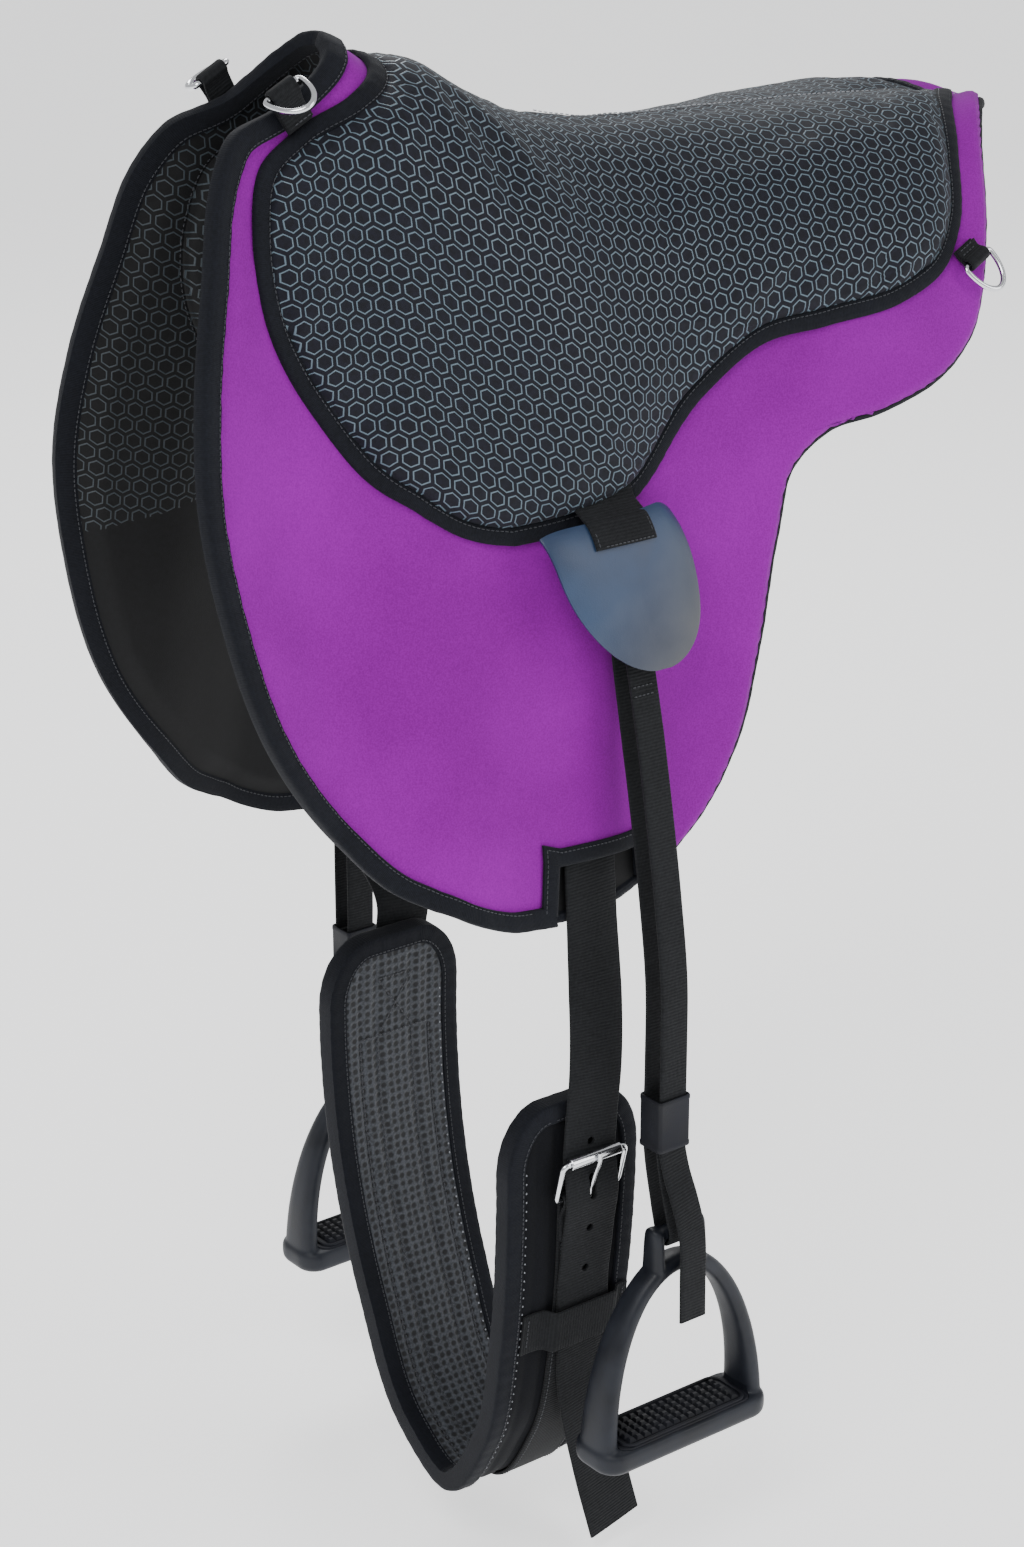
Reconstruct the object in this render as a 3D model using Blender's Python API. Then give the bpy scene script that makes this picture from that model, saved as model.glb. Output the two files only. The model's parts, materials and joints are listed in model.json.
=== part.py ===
"""Bareback pad with stirrups and girth, hanging as it does on a horse's back.

Metres, +Z up.  +X runs to the tail, -Y is the near (left) side, +Y the off side.
The origin is on the underside of the pad, at the lowest point of the spine line.
"""
import math

import bmesh
import bpy
import numpy as np
from mathutils import Matrix, Vector

for old in list(bpy.data.objects):
    bpy.data.objects.remove(old, do_unlink=True)

# Layers of the pad
GAP = 0.0003
COVER = 0.0020
FOAM = 0.0072
LINING = 0.0022
PAD_DEPTH = COVER + FOAM + LINING + 2 * GAP
TAPE = 0.0014
TAPE_WIDTH = 0.0145
REAR_TAPE_SHARE = 0.16

# Seat cushion
SEAT_CROWN = 0.0122
SEAT_EDGE = 0.0020
SEAT_SKIN = 0.0012
SEAT_SHOULDER = 0.026
SEAT_TAPE = 0.0085
SEAM_DEPTH = 0.006
SEAM_HALF_WIDTH = 0.012

# Webbing
WEB = 0.0024
GIRTH_WEB_WIDTH = 0.045
STIRRUP_WEB_WIDTH = 0.025
TAB_WEB_WIDTH = 0.020

# Girth
GIRTH_X = -0.110
GIRTH_DRIFT = 0.005
GIRTH_WIDTH = 0.108
BUCKLE_X = -0.098
GIRTH_SKIN = 0.0016
GIRTH_FOAM = 0.0080
GIRTH_MESH = 0.0026
GIRTH_STRAP_X = -0.084
GIRTH_HINGE_X = -0.106
GIRTH_HINGE_Z = -0.456

# Stirrups
STIRRUP_X = -0.058
STIRRUP_Y = 0.180
HANGER_Y = 0.128
HANGER_Z = -0.2505
IRON_EYE_Z = -0.707
IRON_HALF_WIDTH = 0.066
IRON_RISE = 0.143
TREAD_LENGTH = 0.120
TREAD_WIDTH = 0.040

# Height of the cover along the spine: x, z
SPINE = [(-0.360, 0.113), (-0.270, 0.108), (-0.198, 0.097), (-0.150, 0.069), (-0.100, 0.042),
         (-0.050, 0.021), (0.000, 0.0118), (0.100, 0.0085), (0.200, 0.009), (0.290, 0.005),
         (0.380, 0.001)]
# How gently the back rounds over from the spine: x, length of the bend
BEND = [(-0.360, 0.042), (-0.310, 0.028), (-0.270, 0.018), (-0.230, 0.021), (-0.190, 0.034),
        (-0.090, 0.072), (0.000, 0.085), (0.090, 0.115), (0.180, 0.142), (0.270, 0.144),
        (0.380, 0.122)]
# Steepness that the flanks reach: x, degrees
FLANK = [(-0.360, 82.0), (-0.200, 79.5), (-0.100, 84.5), (0.000, 88.0), (0.100, 90.5),
         (0.380, 91.0)]

# How far the spine is sewn down between the two halves of the back: x, degrees
DIP = [(-0.060, 0.0), (0.050, 2.0), (0.150, 9.0), (0.250, 18.0), (0.320, 28.0), (0.380, 38.0)]
DIP_REACH = 0.020

# Outlines in pattern coordinates: x, and the distance down the flank from the spine
PAD_FRONT = [(-0.198, 0.000), (-0.208, 0.026), (-0.242, 0.055), (-0.286, 0.077),
             (-0.305, 0.106), (-0.323, 0.166), (-0.340, 0.233), (-0.348, 0.306),
             (-0.340, 0.370), (-0.311, 0.461), (-0.270, 0.517), (-0.237, 0.554),
             (-0.215, 0.568)]
PAD_BOTTOM = [(-0.215, 0.568), (-0.190, 0.577), (-0.158, 0.577), (-0.132, 0.571)]
PAD_REAR = [(0.372, 0.000), (0.360, 0.018), (0.330, 0.052), (0.300, 0.092), (0.269, 0.157),
            (0.253, 0.192), (0.237, 0.219), (0.205, 0.243), (0.152, 0.254), (0.110, 0.254),
            (0.083, 0.270), (0.069, 0.312), (0.054, 0.390), (0.040, 0.448), (0.016, 0.492),
            (-0.012, 0.519), (-0.060, 0.545), (-0.110, 0.565), (-0.132, 0.571)]
SEAT_FRONT = [(-0.172, 0.000), (-0.180, 0.028), (-0.203, 0.053), (-0.240, 0.071),
              (-0.269, 0.092), (-0.282, 0.135), (-0.281, 0.182), (-0.254, 0.246),
              (-0.214, 0.300), (-0.190, 0.314)]
SEAT_BOTTOM = [(-0.190, 0.314), (-0.172, 0.319), (-0.150, 0.319), (-0.131, 0.316)]
SEAT_REAR = [(0.338, 0.000), (0.330, 0.020), (0.296, 0.058), (0.265, 0.106), (0.243, 0.148),
             (0.216, 0.177), (0.174, 0.190), (0.117, 0.187), (0.065, 0.185), (0.022, 0.206),
             (-0.036, 0.267), (-0.088, 0.297), (-0.131, 0.316)]
# Shares of the rear run's length and of the front run's length that one row joins
PAD_MATCH = [(0.0, 0.0), (0.35, 0.35), (0.46, 0.42), (0.55, 0.51), (0.64, 0.61), (1.0, 1.0)]
SEAT_MATCH = [(0.0, 0.0), (0.34, 0.35), (0.575, 0.44), (0.65, 0.51), (0.78, 0.66), (1.0, 1.0)]
# Cut-out where the girth strap leaves the pad: x, distance from the spine
NOTCH = [(-0.128, 0.620), (-0.116, 0.527), (-0.040, 0.503), (-0.034, 0.620)]

# Middle line of the hanging girth, from its near end to its off end: y, z
GIRTH_LINE = [(-0.1340, -0.607), (-0.1345, -0.690), (-0.1275, -0.780), (-0.1060, -0.870),
              (-0.0640, -0.922), (-0.0180, -0.896), (0.0260, -0.810), (0.0530, -0.710),
              (0.0600, -0.630), (0.0570, -0.548)]

NEAR = -1
OFF = 1
SIDES = (("near", NEAR), ("off", OFF))


# Materials
def finish(name, colour, roughness, metallic=0.0):
    material = bpy.data.materials.new(name)
    material.use_nodes = True
    shader = material.node_tree.nodes["Principled BSDF"]
    shader.inputs["Base Color"].default_value = (*colour, 1.0)
    shader.inputs["Roughness"].default_value = roughness
    shader.inputs["Metallic"].default_value = metallic
    return material


PURPLE = finish("purple_neoprene", (0.28, 0.04, 0.37), 0.85)
BLACK_NEOPRENE = finish("black_neoprene", (0.012, 0.013, 0.018), 0.8)
FOAM_GREY = finish("foam", (0.30, 0.30, 0.30), 0.95)
GRIP = finish("hexagon_grip", (0.016, 0.018, 0.024), 0.45)
TAPE_BLACK = finish("binding_tape", (0.010, 0.012, 0.018), 0.8)
WEBBING = finish("webbing", (0.012, 0.013, 0.015), 0.75)
LEATHER = finish("leather", (0.045, 0.060, 0.080), 0.4)
CHROME = finish("chrome", (0.82, 0.83, 0.85), 0.12, 1.0)
IRON_PLASTIC = finish("stirrup_plastic", (0.018, 0.020, 0.024), 0.5)
RUBBER = finish("tread_rubber", (0.014, 0.015, 0.020), 0.7)
AIR_MESH = finish("air_mesh", (0.020, 0.022, 0.026), 0.9)


# Curves
def hermite(points, where):
    """Smooth values at the chord lengths where, on a curve through the points."""
    p = np.array(points, float)
    knots = np.concatenate([[0.0], np.cumsum(np.linalg.norm(np.diff(p, axis=0), axis=1))])
    slopes = np.gradient(p, knots, axis=0)
    i = np.clip(np.searchsorted(knots, where, side="right") - 1, 0, len(p) - 2)
    h = (knots[i + 1] - knots[i])[:, None]
    s = (where - knots[i])[:, None] / h
    return ((2 * s**3 - 3 * s**2 + 1) * p[i] + (s**3 - 2 * s**2 + s) * h * slopes[i]
            + (3 * s**2 - 2 * s**3) * p[i + 1] + (s**3 - s**2) * h * slopes[i + 1])


def smooth_curve(points, at):
    """Points on the curve through points, at the given shares of its length."""
    chords = np.linalg.norm(np.diff(np.array(points, float), axis=0), axis=1)
    dense = hermite(points, np.linspace(0.0, chords.sum(), 30 * len(points)))
    runs = np.linalg.norm(np.diff(dense, axis=0), axis=1)
    reach = np.concatenate([[0.0], np.cumsum(runs)])
    even = np.asarray(at) * reach[-1]
    return np.column_stack([np.interp(even, reach, column) for column in dense.T])


def graph(points, x):
    """Value at x of the smooth graph through the points."""
    p = np.array(points, float)
    slopes = np.gradient(p[:, 1], p[:, 0])
    i = int(np.clip(np.searchsorted(p[:, 0], x) - 1, 0, len(p) - 2))
    h = p[i + 1, 0] - p[i, 0]
    s = np.clip((x - p[i, 0]) / h, -0.3, 1.3)
    return ((2 * s**3 - 3 * s**2 + 1) * p[i, 1] + (s**3 - 2 * s**2 + s) * h * slopes[i]
            + (3 * s**2 - 2 * s**3) * p[i + 1, 1] + (s**3 - s**2) * h * slopes[i + 1])


# The back that the pad lies on
RIB_STEP = 0.002
RIB_REACH = 0.70


def rib(x):
    """Cross-section of the cover at x: distances from the spine, and y and z there."""
    t = np.arange(0.0, RIB_REACH, RIB_STEP)
    middle = t[:-1] + RIB_STEP / 2
    steep = math.radians(graph(FLANK, x)) * (1 - np.exp(-middle / graph(BEND, x)))
    dip = math.radians(max(graph(DIP, x), 0.0)) * middle / DIP_REACH
    steep -= dip * np.exp(1 - middle / DIP_REACH)
    y = np.concatenate([[0.0], np.cumsum(np.cos(steep)) * RIB_STEP])
    z = graph(SPINE, x) - np.concatenate([[0.0], np.cumsum(np.sin(steep)) * RIB_STEP])
    return t, y, z


def back_point(x, t):
    """Point of the cover's outer face, t metres round from the spine (minus is near)."""
    reach, y, z = rib(x)
    away = abs(t)
    return Vector((x, math.copysign(np.interp(away, reach, y), t), np.interp(away, reach, z)))


def back_normal(x, t):
    e = 0.004
    along = back_point(x + e, t) - back_point(x - e, t)
    across = back_point(x, t + e) - back_point(x, t - e)
    return along.cross(across).normalized()


def on_back(x, t, height):
    return back_point(x, t) + back_normal(x, t) * height


def flank_at(x, z):
    """Distance from the spine where the cover at x reaches the height z."""
    reach, _, heights = rib(x)
    return float(np.interp(-z, -heights, reach))


# Meshes
def make(name, vertices, faces, material, smooth=30.0):
    mesh = bpy.data.meshes.new(name)
    mesh.from_pydata([tuple(v) for v in vertices], [], faces)
    mesh.materials.append(material)
    bm = bmesh.new()
    bm.from_mesh(mesh)
    bmesh.ops.recalc_face_normals(bm, faces=bm.faces)
    bm.to_mesh(mesh)
    bm.free()
    mesh.shade_smooth()
    mesh.set_sharp_from_angle(angle=math.radians(smooth))
    part = bpy.data.objects.new(name, mesh)
    bpy.context.scene.collection.objects.link(part)
    return part


def set_origin(part, place):
    """Moves the origin of the part to the place, with its shape left where it is."""
    part.data.transform(Matrix.Translation(-Vector(place)))
    part.location = place


def loft(name, rings, material, closed=False, smooth=30.0, split=None):
    """Skins rings of equal size, capping both ends unless the loft is closed.

    With split the quads are cut into triangles, from the first corner except in the
    strips that split names, so that pieces lying on each other fold along the same lines.
    """
    size = len(rings[0])
    vertices = [v for ring in rings for v in ring]
    count = len(rings)
    faces = []
    for r in range(count if closed else count - 1):
        low = r * size
        high = ((r + 1) % count) * size
        for k in range(size):
            after = (k + 1) % size
            quad = (low + k, low + after, high + after, high + k)
            if split is None:
                faces.append(quad)
            elif k in split:
                faces += [(quad[0], quad[1], quad[3]), (quad[1], quad[2], quad[3])]
            else:
                faces += [quad[:3], (quad[0], quad[2], quad[3])]
    if not closed:
        faces.append(tuple(range(size)))
        faces.append(tuple(range((count - 1) * size, count * size)))
    return make(name, vertices, faces, material, smooth)


def slab(name, top, bottom, material, smooth=40.0, rims=None):
    """Closed solid between two grids of points; rims adds a loop round each grid."""
    rows = len(top)
    columns = len(top[0])
    rim = [i * columns for i in range(rows // 2, 0, -1)]
    rim += list(range(columns))
    rim += [i * columns + columns - 1 for i in range(1, rows)]
    rim += [(rows - 1) * columns + j for j in range(columns - 2, -1, -1)]
    rim += [i * columns for i in range(rows - 2, rows // 2, -1)]
    layers = [[p for row in grid for p in row] for grid in (top, bottom)]
    folds = []
    for i in range(rows - 1):
        for j in range(columns - 1):
            a = i * columns + j
            folds.append((a, a + columns, a + columns + 1, a + 1))
    if rims:
        outer = list(range(len(layers[0]), len(layers[0]) + len(rim)))
        layers = [points + list(loop) for points, loop in zip(layers, rims)]
        for k in range(len(rim)):
            after = (k + 1) % len(rim)
            folds.append((rim[k], outer[k], outer[after], rim[after]))
        rim = outer
    below = len(layers[0])
    faces = []
    for a, b, c, d in folds:
        faces += [(a, b, c), (a, c, d)]
        faces += [(a + below, c + below, b + below), (a + below, d + below, c + below)]
    for a, b in zip(rim, rim[1:] + rim[:1]):
        faces += [(a, b, b + below), (a, b + below, a + below)]
    return make(name, layers[0] + layers[1], faces, material, smooth)


def band(name, path, across, width, thick, material):
    """Flat strap along a path; across gives the direction of its width at each point."""
    rings = []
    count = len(path)
    for i in range(count):
        p = Vector(path[i])
        ahead = (Vector(path[min(i + 1, count - 1)]) - Vector(path[max(i - 1, 0)])).normalized()
        side = Vector(across[i] if isinstance(across, list) else across)
        side = (side - ahead * side.dot(ahead)).normalized()
        up = ahead.cross(side) * (thick / 2)
        side = side * ((width[i] if isinstance(width, list) else width) / 2)
        rings.append([p - side - up, p + side - up, p + side + up, p - side + up])
    return loft(name, rings, material)


def wire_ring(name, path, radius, sides, material):
    """Closed round wire along a closed path of points."""
    rings = []
    count = len(path)
    centre = sum((Vector(p) for p in path), Vector()) / count
    for i in range(count):
        p = Vector(path[i])
        ahead = (Vector(path[(i + 1) % count]) - Vector(path[i - 1])).normalized()
        flat = ahead.cross((p - centre).cross(ahead)).normalized()
        up = ahead.cross(flat)
        rings.append([p + flat * (radius * math.cos(a)) + up * (radius * math.sin(a))
                      for a in (2 * math.pi * k / sides for k in range(sides))])
    return loft(name, rings, material, closed=True, smooth=60.0)


def cut(part, cutter, kind="DIFFERENCE"):
    change = part.modifiers.new("cut", "BOOLEAN")
    change.operation = kind
    change.object = cutter
    cutter.hide_render = True
    cutter.display_type = "WIRE"


# Pattern pieces
def inset_outline(runs, inset):
    """The three runs of a half outline, moved inwards in the flat pattern by inset."""
    front, bottom, rear = runs
    whole = np.vstack([front, bottom[1:], rear[::-1][1:]])
    mirrored = np.vstack([whole[1] * (1, -1), whole, whole[-2] * (1, -1)])
    ahead = mirrored[2:] - mirrored[1:-1]
    behind = mirrored[1:-1] - mirrored[:-2]
    along = ahead / np.linalg.norm(ahead, axis=1)[:, None]
    along += behind / np.linalg.norm(behind, axis=1)[:, None]
    along /= np.linalg.norm(along, axis=1)[:, None]
    moved = whole + inset * np.column_stack([along[:, 1], -along[:, 0]])
    n = len(front)
    m = len(bottom)
    return moved[:n], moved[n - 1:n + m - 1], moved[n + m - 2:][::-1]


def outline_runs(shape, inset=0.0, start=0.0):
    """Front, bottom and rear runs of a half outline, from start below the spine on."""
    front, bottom, rear, match, across, down = shape
    runs = []
    for points, shares in ((front, np.interp(down, *zip(*match))), (rear, down)):
        fine = np.linspace(0.0, 1.0, 200)
        first = np.interp(start, smooth_curve(points, fine)[:40, 1], fine[:40])
        runs.append(smooth_curve(points, first + shares * (1 - first)))
    runs.insert(1, smooth_curve(bottom, across))
    return inset_outline(runs, inset) if inset else runs


def pattern_grid(shape, inset=0.0, start=0.0):
    """Grid of pattern points filling a half outline, rows from the spine down."""
    front, bottom, rear = outline_runs(shape, inset, start)
    rows = [[a * (1 - u) + b * u for u in shape[4]] for a, b in zip(front[:-1], rear)]
    return rows + [list(bottom)]


def full_grid(shape, inset=0.0):
    rows = pattern_grid(shape, inset)
    near = [[(x, -t) for x, t in row] for row in reversed(rows)]
    return near + [[(x, t) for x, t in row] for row in rows[1:]]


def layer(name, grid, high, low, material):
    """Solid between two heights over the cover; a height may be a function of x, t."""
    top = [[on_back(x, t, high(x, t) if callable(high) else high) for x, t in row]
           for row in grid]
    bottom = [[on_back(x, t, low(x, t) if callable(low) else low) for x, t in row]
              for row in grid]
    return slab(name, top, bottom, material)


def closed_outline(shape, inset=0.0):
    """Whole outline as one loop of pattern points, near side first."""
    front, bottom, rear = outline_runs(shape, inset)
    half = list(front) + list(bottom[1:]) + list(rear[::-1][1:])
    near = [(x, -t) for x, t in half]
    return near + [(x, t) for x, t in half[-2:0:-1]]


def edging(name, loops, heights, material, split=None):
    """Ring along an outline; each loop with its height is one line of the section."""
    rings = []
    for i in range(len(loops[0])):
        rings.append([on_back(loop[i][0], loop[i][1], h) for loop, h in zip(loops, heights)])
    return loft(name, rings, material, closed=True, smooth=40.0, split=split)


# Columns across a pattern piece and rows down it, as shares
PAD_ACROSS = np.array([0, 0.06, 0.12, 0.19, 0.27, 0.36, 0.45, 0.55, 0.67, 0.83, 1])
PAD_DOWN = np.array([0, 0.018, 0.05, 0.09, 0.15, 0.23, 0.31, 0.385, 0.46, 0.525, 0.62,
                     0.74, 0.87, 1])
SEAT_ACROSS = np.array([0, 0.03, 0.10, 0.22, 0.37, 0.52, 0.67, 0.81, 0.92, 0.975, 1])
SEAT_DOWN = np.array([0, 0.04, 0.11, 0.20, 0.29, 0.38, 0.475, 0.57, 0.67, 0.78, 0.88, 0.955, 1])
PANEL_ACROSS = np.array([0, 0.07, 0.22, 0.5, 0.78, 0.93, 1])
PANEL_DOWN = np.array([0, 0.09, 0.22, 0.36, 0.51, 0.66, 0.82, 0.95, 1])
PAD_SHAPE = (PAD_FRONT, PAD_BOTTOM, PAD_REAR, PAD_MATCH, PAD_ACROSS, PAD_DOWN)
SEAT_SHAPE = (SEAT_FRONT, SEAT_BOTTOM, SEAT_REAR, SEAT_MATCH, SEAT_ACROSS, SEAT_DOWN)
PANEL_SHAPE = SEAT_SHAPE[:4] + (PANEL_ACROSS, PANEL_DOWN)
FINE = np.linspace(0.0, 1.0, 50)

COVER_LOW = -COVER
FOAM_HIGH = COVER_LOW - GAP
FOAM_LOW = FOAM_HIGH - FOAM
LINING_HIGH = FOAM_LOW - GAP
LINING_LOW = LINING_HIGH - LINING


def pad_plate(name, high, low, material):
    """Layer of the whole pad, with a strip as wide as the binding all round its grid."""
    grid = full_grid(PAD_SHAPE, TAPE_WIDTH)
    edge = closed_outline(PAD_SHAPE)
    sheets = [[[on_back(x, t, h) for x, t in row] for row in grid] for h in (high, low)]
    rims = [[on_back(x, t, h) for x, t in edge] for h in (high, low)]
    return slab(name, *sheets, material, rims=rims)


# Room kept free over and under the pad, which what is sewn to it is trimmed with
ABOVE_PAD = pad_plate("above_pad_cutter", GAP, -0.010, FOAM_GREY)
BELOW_PAD = pad_plate("below_pad_cutter", 0.004, LINING_LOW - GAP, FOAM_GREY)
BURIED = 0.0045
WALL_GAP = 3 * GAP


# Pad: purple cover, foam core and black lining, cut out for the girth straps
def build_pad():
    cover = pad_plate("pad_cover", 0.0, COVER_LOW, PURPLE)
    core = pad_plate("pad_foam_core", FOAM_HIGH, FOAM_LOW, FOAM_GREY)
    pad_plate("pad_lining", LINING_HIGH, LINING_LOW, BLACK_NEOPRENE)

    rim = closed_outline(PAD_SHAPE)
    under = closed_outline(PAD_SHAPE, TAPE_WIDTH)
    top = [flange_point(a, b) for a, b in zip(rim, under)]
    outside = closed_outline(PAD_SHAPE, -TAPE - WALL_GAP)
    inside = closed_outline(PAD_SHAPE, -WALL_GAP)
    loops = [top, outside, outside, under, under, inside, inside, top]
    high = 2 * GAP
    low = LINING_LOW - GAP
    heights = [high + TAPE, high + TAPE, low - TAPE, low - TAPE, low, low, high, high]
    binding = edging("pad_edge_binding", loops, heights, TAPE_BLACK, split=(2, 5, 6))

    for side, sign in SIDES:
        rows = []
        left = smooth_curve([NOTCH[1], NOTCH[0]], [0.0, 0.5, 1.0])
        right = smooth_curve([NOTCH[2], NOTCH[3]], [0.0, 0.5, 1.0])
        for share in np.linspace(0.0, 1.0, 5):
            rows.append([(x, sign * t) for x, t in left * (1 - share) + right * share])
        through = layer("notch_cutter_" + side, rows, 0.010, -0.025, TAPE_BLACK)
        for part in (cover, core):
            cut(part, through)
        rim = layer("notch_rim_cutter_" + side, rows, 0.010, FOAM_LOW - GAP / 2, TAPE_BLACK)
        cut(binding, rim)
        frame_notch(side, sign)


def flange_point(edge, inner):
    """Upper edge of the binding: full width in front, a thin lip behind the cut-out."""
    width = 1.0 if edge[0] < NOTCH[1][0] else REAR_TAPE_SHARE
    return tuple(a + (b - a) * width for a, b in zip(edge, inner))


def frame_notch(side, sign):
    """Tape sewn round the cut-out, on top of the cover and short of the edge binding."""
    low_front = 0.551
    low_rear = 0.5135
    a, b, c, d = [np.array(p) for p in NOTCH]
    a = b + (a - b) * (low_front - b[1]) / (a[1] - b[1])
    d = c + (d - c) * (low_rear - c[1]) / (d[1] - c[1])
    edge = [a, (a + b) / 2, b, (2 * b + c) / 3, (b + 2 * c) / 3, c, d]
    width = 0.0125
    clear = 0.0006
    out = [(-1, 0), (-1, 0), (-1, -1), (0.2, -1), (0.2, -1), (1, -1), (1, 0)]
    rings = []
    for p, o in zip(edge, out):
        o = np.array(o, float)
        inner = p + o * clear
        outer = p + o * width
        rings.append([on_back(x, sign * t, h) for x, t, h in
                      ((*inner, -BURIED), (*outer, -BURIED), (*outer, 2 * TAPE), (*inner, 2 * TAPE))])
    cut(loft("notch_binding_" + side, rings, TAPE_BLACK), ABOVE_PAD)


# Seat: crowned foam cushion under a grippy skin, with a sewn channel along the spine
def seat_outline():
    return np.array(closed_outline(SEAT_SHAPE[:4] + (FINE, FINE), SEAT_TAPE + WALL_GAP))


SEAT_LOOP = seat_outline()


def seat_height(x, t):
    """Thickness of the cushion: full in the middle, round at the edge, sunk at the seam."""
    gap = np.linalg.norm(SEAT_LOOP - (x, t), axis=1).min()
    rise = min(gap / SEAT_SHOULDER, 1.0)
    height = SEAT_EDGE + (SEAT_CROWN - SEAT_EDGE) * math.sqrt(1 - (1 - rise) ** 2)
    seam = max(0.0, 1 - abs(t) / SEAM_HALF_WIDTH)
    behind = min(max((x + 0.03) / 0.06, 0.0), 1.0)
    return height - SEAM_DEPTH * seam * seam * behind * rise


def build_seat():
    grid = full_grid(SEAT_SHAPE, SEAT_TAPE + WALL_GAP)
    foam = layer("seat_foam", grid, lambda x, t: GAP + seat_height(x, t), -BURIED, FOAM_GREY)
    layer("seat_cover", grid, lambda x, t: 2 * GAP + seat_height(x, t) + SEAT_SKIN,
          lambda x, t: 2 * GAP + seat_height(x, t), GRIP)
    inner = closed_outline(SEAT_SHAPE, SEAT_TAPE)
    outer = closed_outline(SEAT_SHAPE)
    binding = edging("seat_edge_binding", [inner, outer, outer, inner],
                     [GAP + 0.0036, GAP + 0.0026, -BURIED, -BURIED], TAPE_BLACK, split=(3,))
    cut(foam, ABOVE_PAD)
    cut(binding, ABOVE_PAD)


# Raised panels of the underside, one each side of the spine channel
PANEL_CROWN = 0.0105
PANEL_EDGE = 0.0035
PANEL_INSET = 0.006
CHANNEL = 0.036


def build_panels():
    half = pattern_grid(PANEL_SHAPE, PANEL_INSET, CHANNEL)
    rim = np.array([p for row in (half[0], half[-1]) for p in row]
                   + [p for row in half for p in (row[0], row[-1])])
    for side, sign in SIDES:
        def depth(x, t):
            gap = np.linalg.norm(rim - (x, abs(t)), axis=1).min()
            rise = min(gap / 0.03, 1.0)
            swell = PANEL_EDGE + (PANEL_CROWN - PANEL_EDGE) * math.sqrt(1 - (1 - rise) ** 2)
            return LINING_LOW - GAP - swell
        grid = [[(x, sign * t) for x, t in row] for row in half]
        panel = layer("under_panel_" + side, grid, LINING_LOW + BURIED, depth, GRIP)
        cut(panel, BELOW_PAD)


# Rings held by sewn tabs
def pattern_frame(x, t, angle, sign):
    """Point on the cover, with directions away from it, along the tab and across it."""
    base = back_point(x, sign * t)
    up = back_normal(x, sign * t)
    e = 0.004
    rearward = (back_point(x + e, sign * t) - back_point(x - e, sign * t)).normalized()
    down = (back_point(x, sign * (t + e)) - back_point(x, sign * (t - e))).normalized()
    along = rearward * math.cos(angle) + down * math.sin(angle)
    along = (along - up * along.dot(up)).normalized()
    return base, up, along, up.cross(along).normalized()


def tab(name, frame, length, bar, bar_height, width, rest=GAP):
    """Webbing sewn flat at one end and folded round a bar at the other."""
    base, up, along, across = frame
    low = rest + WEB / 2
    turn = bar + GAP + WEB / 2
    path = [(0.0, low), (0.4 * length, low)]
    for k in range(9):
        a = math.radians(-115 + 230 * k / 8)
        path.append((length + turn * math.cos(a), bar_height + turn * math.sin(a)))
    path.append((0.45 * length, low + WEB + GAP))
    path.append((0.08 * length, low + WEB + GAP))
    points = [base + along * s + up * h for s, h in path]
    return band(name, points, across, width, WEB, WEBBING)


def d_ring_path(centre, along, across, half_width, depth, wire):
    """Straight bar across, then a round bow ahead of it."""
    corner = 1.3 * wire
    shape = [(-half_width + corner, 0.0), (half_width - corner, 0.0)]
    for k in range(3):
        a = math.radians(-90 + 45 * k)
        shape.append((half_width - corner + corner * math.cos(a),
                      corner + corner * math.sin(a)))
    bow = depth - corner
    for k in range(1, 10):
        a = math.pi * k / 10
        shape.append((half_width * math.cos(a), corner + bow * math.sin(a)))
    for k in range(3):
        a = math.radians(180 + 45 * k)
        shape.append((-half_width + corner + corner * math.cos(a),
                      corner + corner * math.sin(a)))
    shape = shape[:2] + shape[3:-1]
    return [centre + across * u + along * v for u, v in shape]


D_WIRE = 0.0020
D_HALF = 0.0140
D_DEPTH = 0.025
D_BAR_HEIGHT = 0.0060
FRONT_TAB_CLEAR = 0.0035
# Sewn end of the tab on the pattern, direction from rearward towards downward, length of
# the tab, and how far the ring is folded up from it
D_PLACES = (("front", -0.241, 0.0700, math.radians(243), 0.025, 122.0),
            ("rear", 0.2370, 0.1640, math.radians(67), 0.0125, 8.0))


def build_d_rings():
    for side, sign in SIDES:
        for where, x, t, angle, length, lift in D_PLACES:
            name = where + "_" + side
            base, up, along, across = pattern_frame(x, t, angle, sign)
            rest = TAPE + FRONT_TAB_CLEAR if where == "front" else GAP
            height = rest + D_BAR_HEIGHT
            tab("d_ring_tab_" + name, (base, up, along, across), length, D_WIRE, height,
                TAB_WEB_WIDTH, rest)
            bar = base + along * length + up * height
            turned = (along * math.cos(math.radians(lift))
                      + up * math.sin(math.radians(lift)))
            ring = wire_ring("d_ring_" + name,
                             d_ring_path(bar, turned, across, D_HALF, D_DEPTH, D_WIRE),
                             D_WIRE, 6, CHROME)
            set_origin(ring, bar)


# Stirrup hangers: a narrow sewn tab and a D-shaped ring whose round bow slides in it
HANGER_WIRE = 0.0020
HANGER_HALF = 0.0165
HANGER_CORNER = 1.3 * HANGER_WIRE
HANGER_TAB_WIDTH = 0.014
HANGER_TAB_ROOM = 0.0043
HANGER_TAB_LENGTH = 0.0115
HANGER_TAB_REST = 0.0022
LEAN_FROM = -0.530
REAR_LEAN = 0.011
REAR_LEAN_FROM = -0.642


def lean(z):
    """How far a strap at the height z stands in from the line of the stirrup iron."""
    rise = min(max((z - LEAN_FROM) / (HANGER_Z - LEAN_FROM), 0.0), 1.15)
    return (STIRRUP_Y - HANGER_Y) * rise ** 1.3


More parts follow.
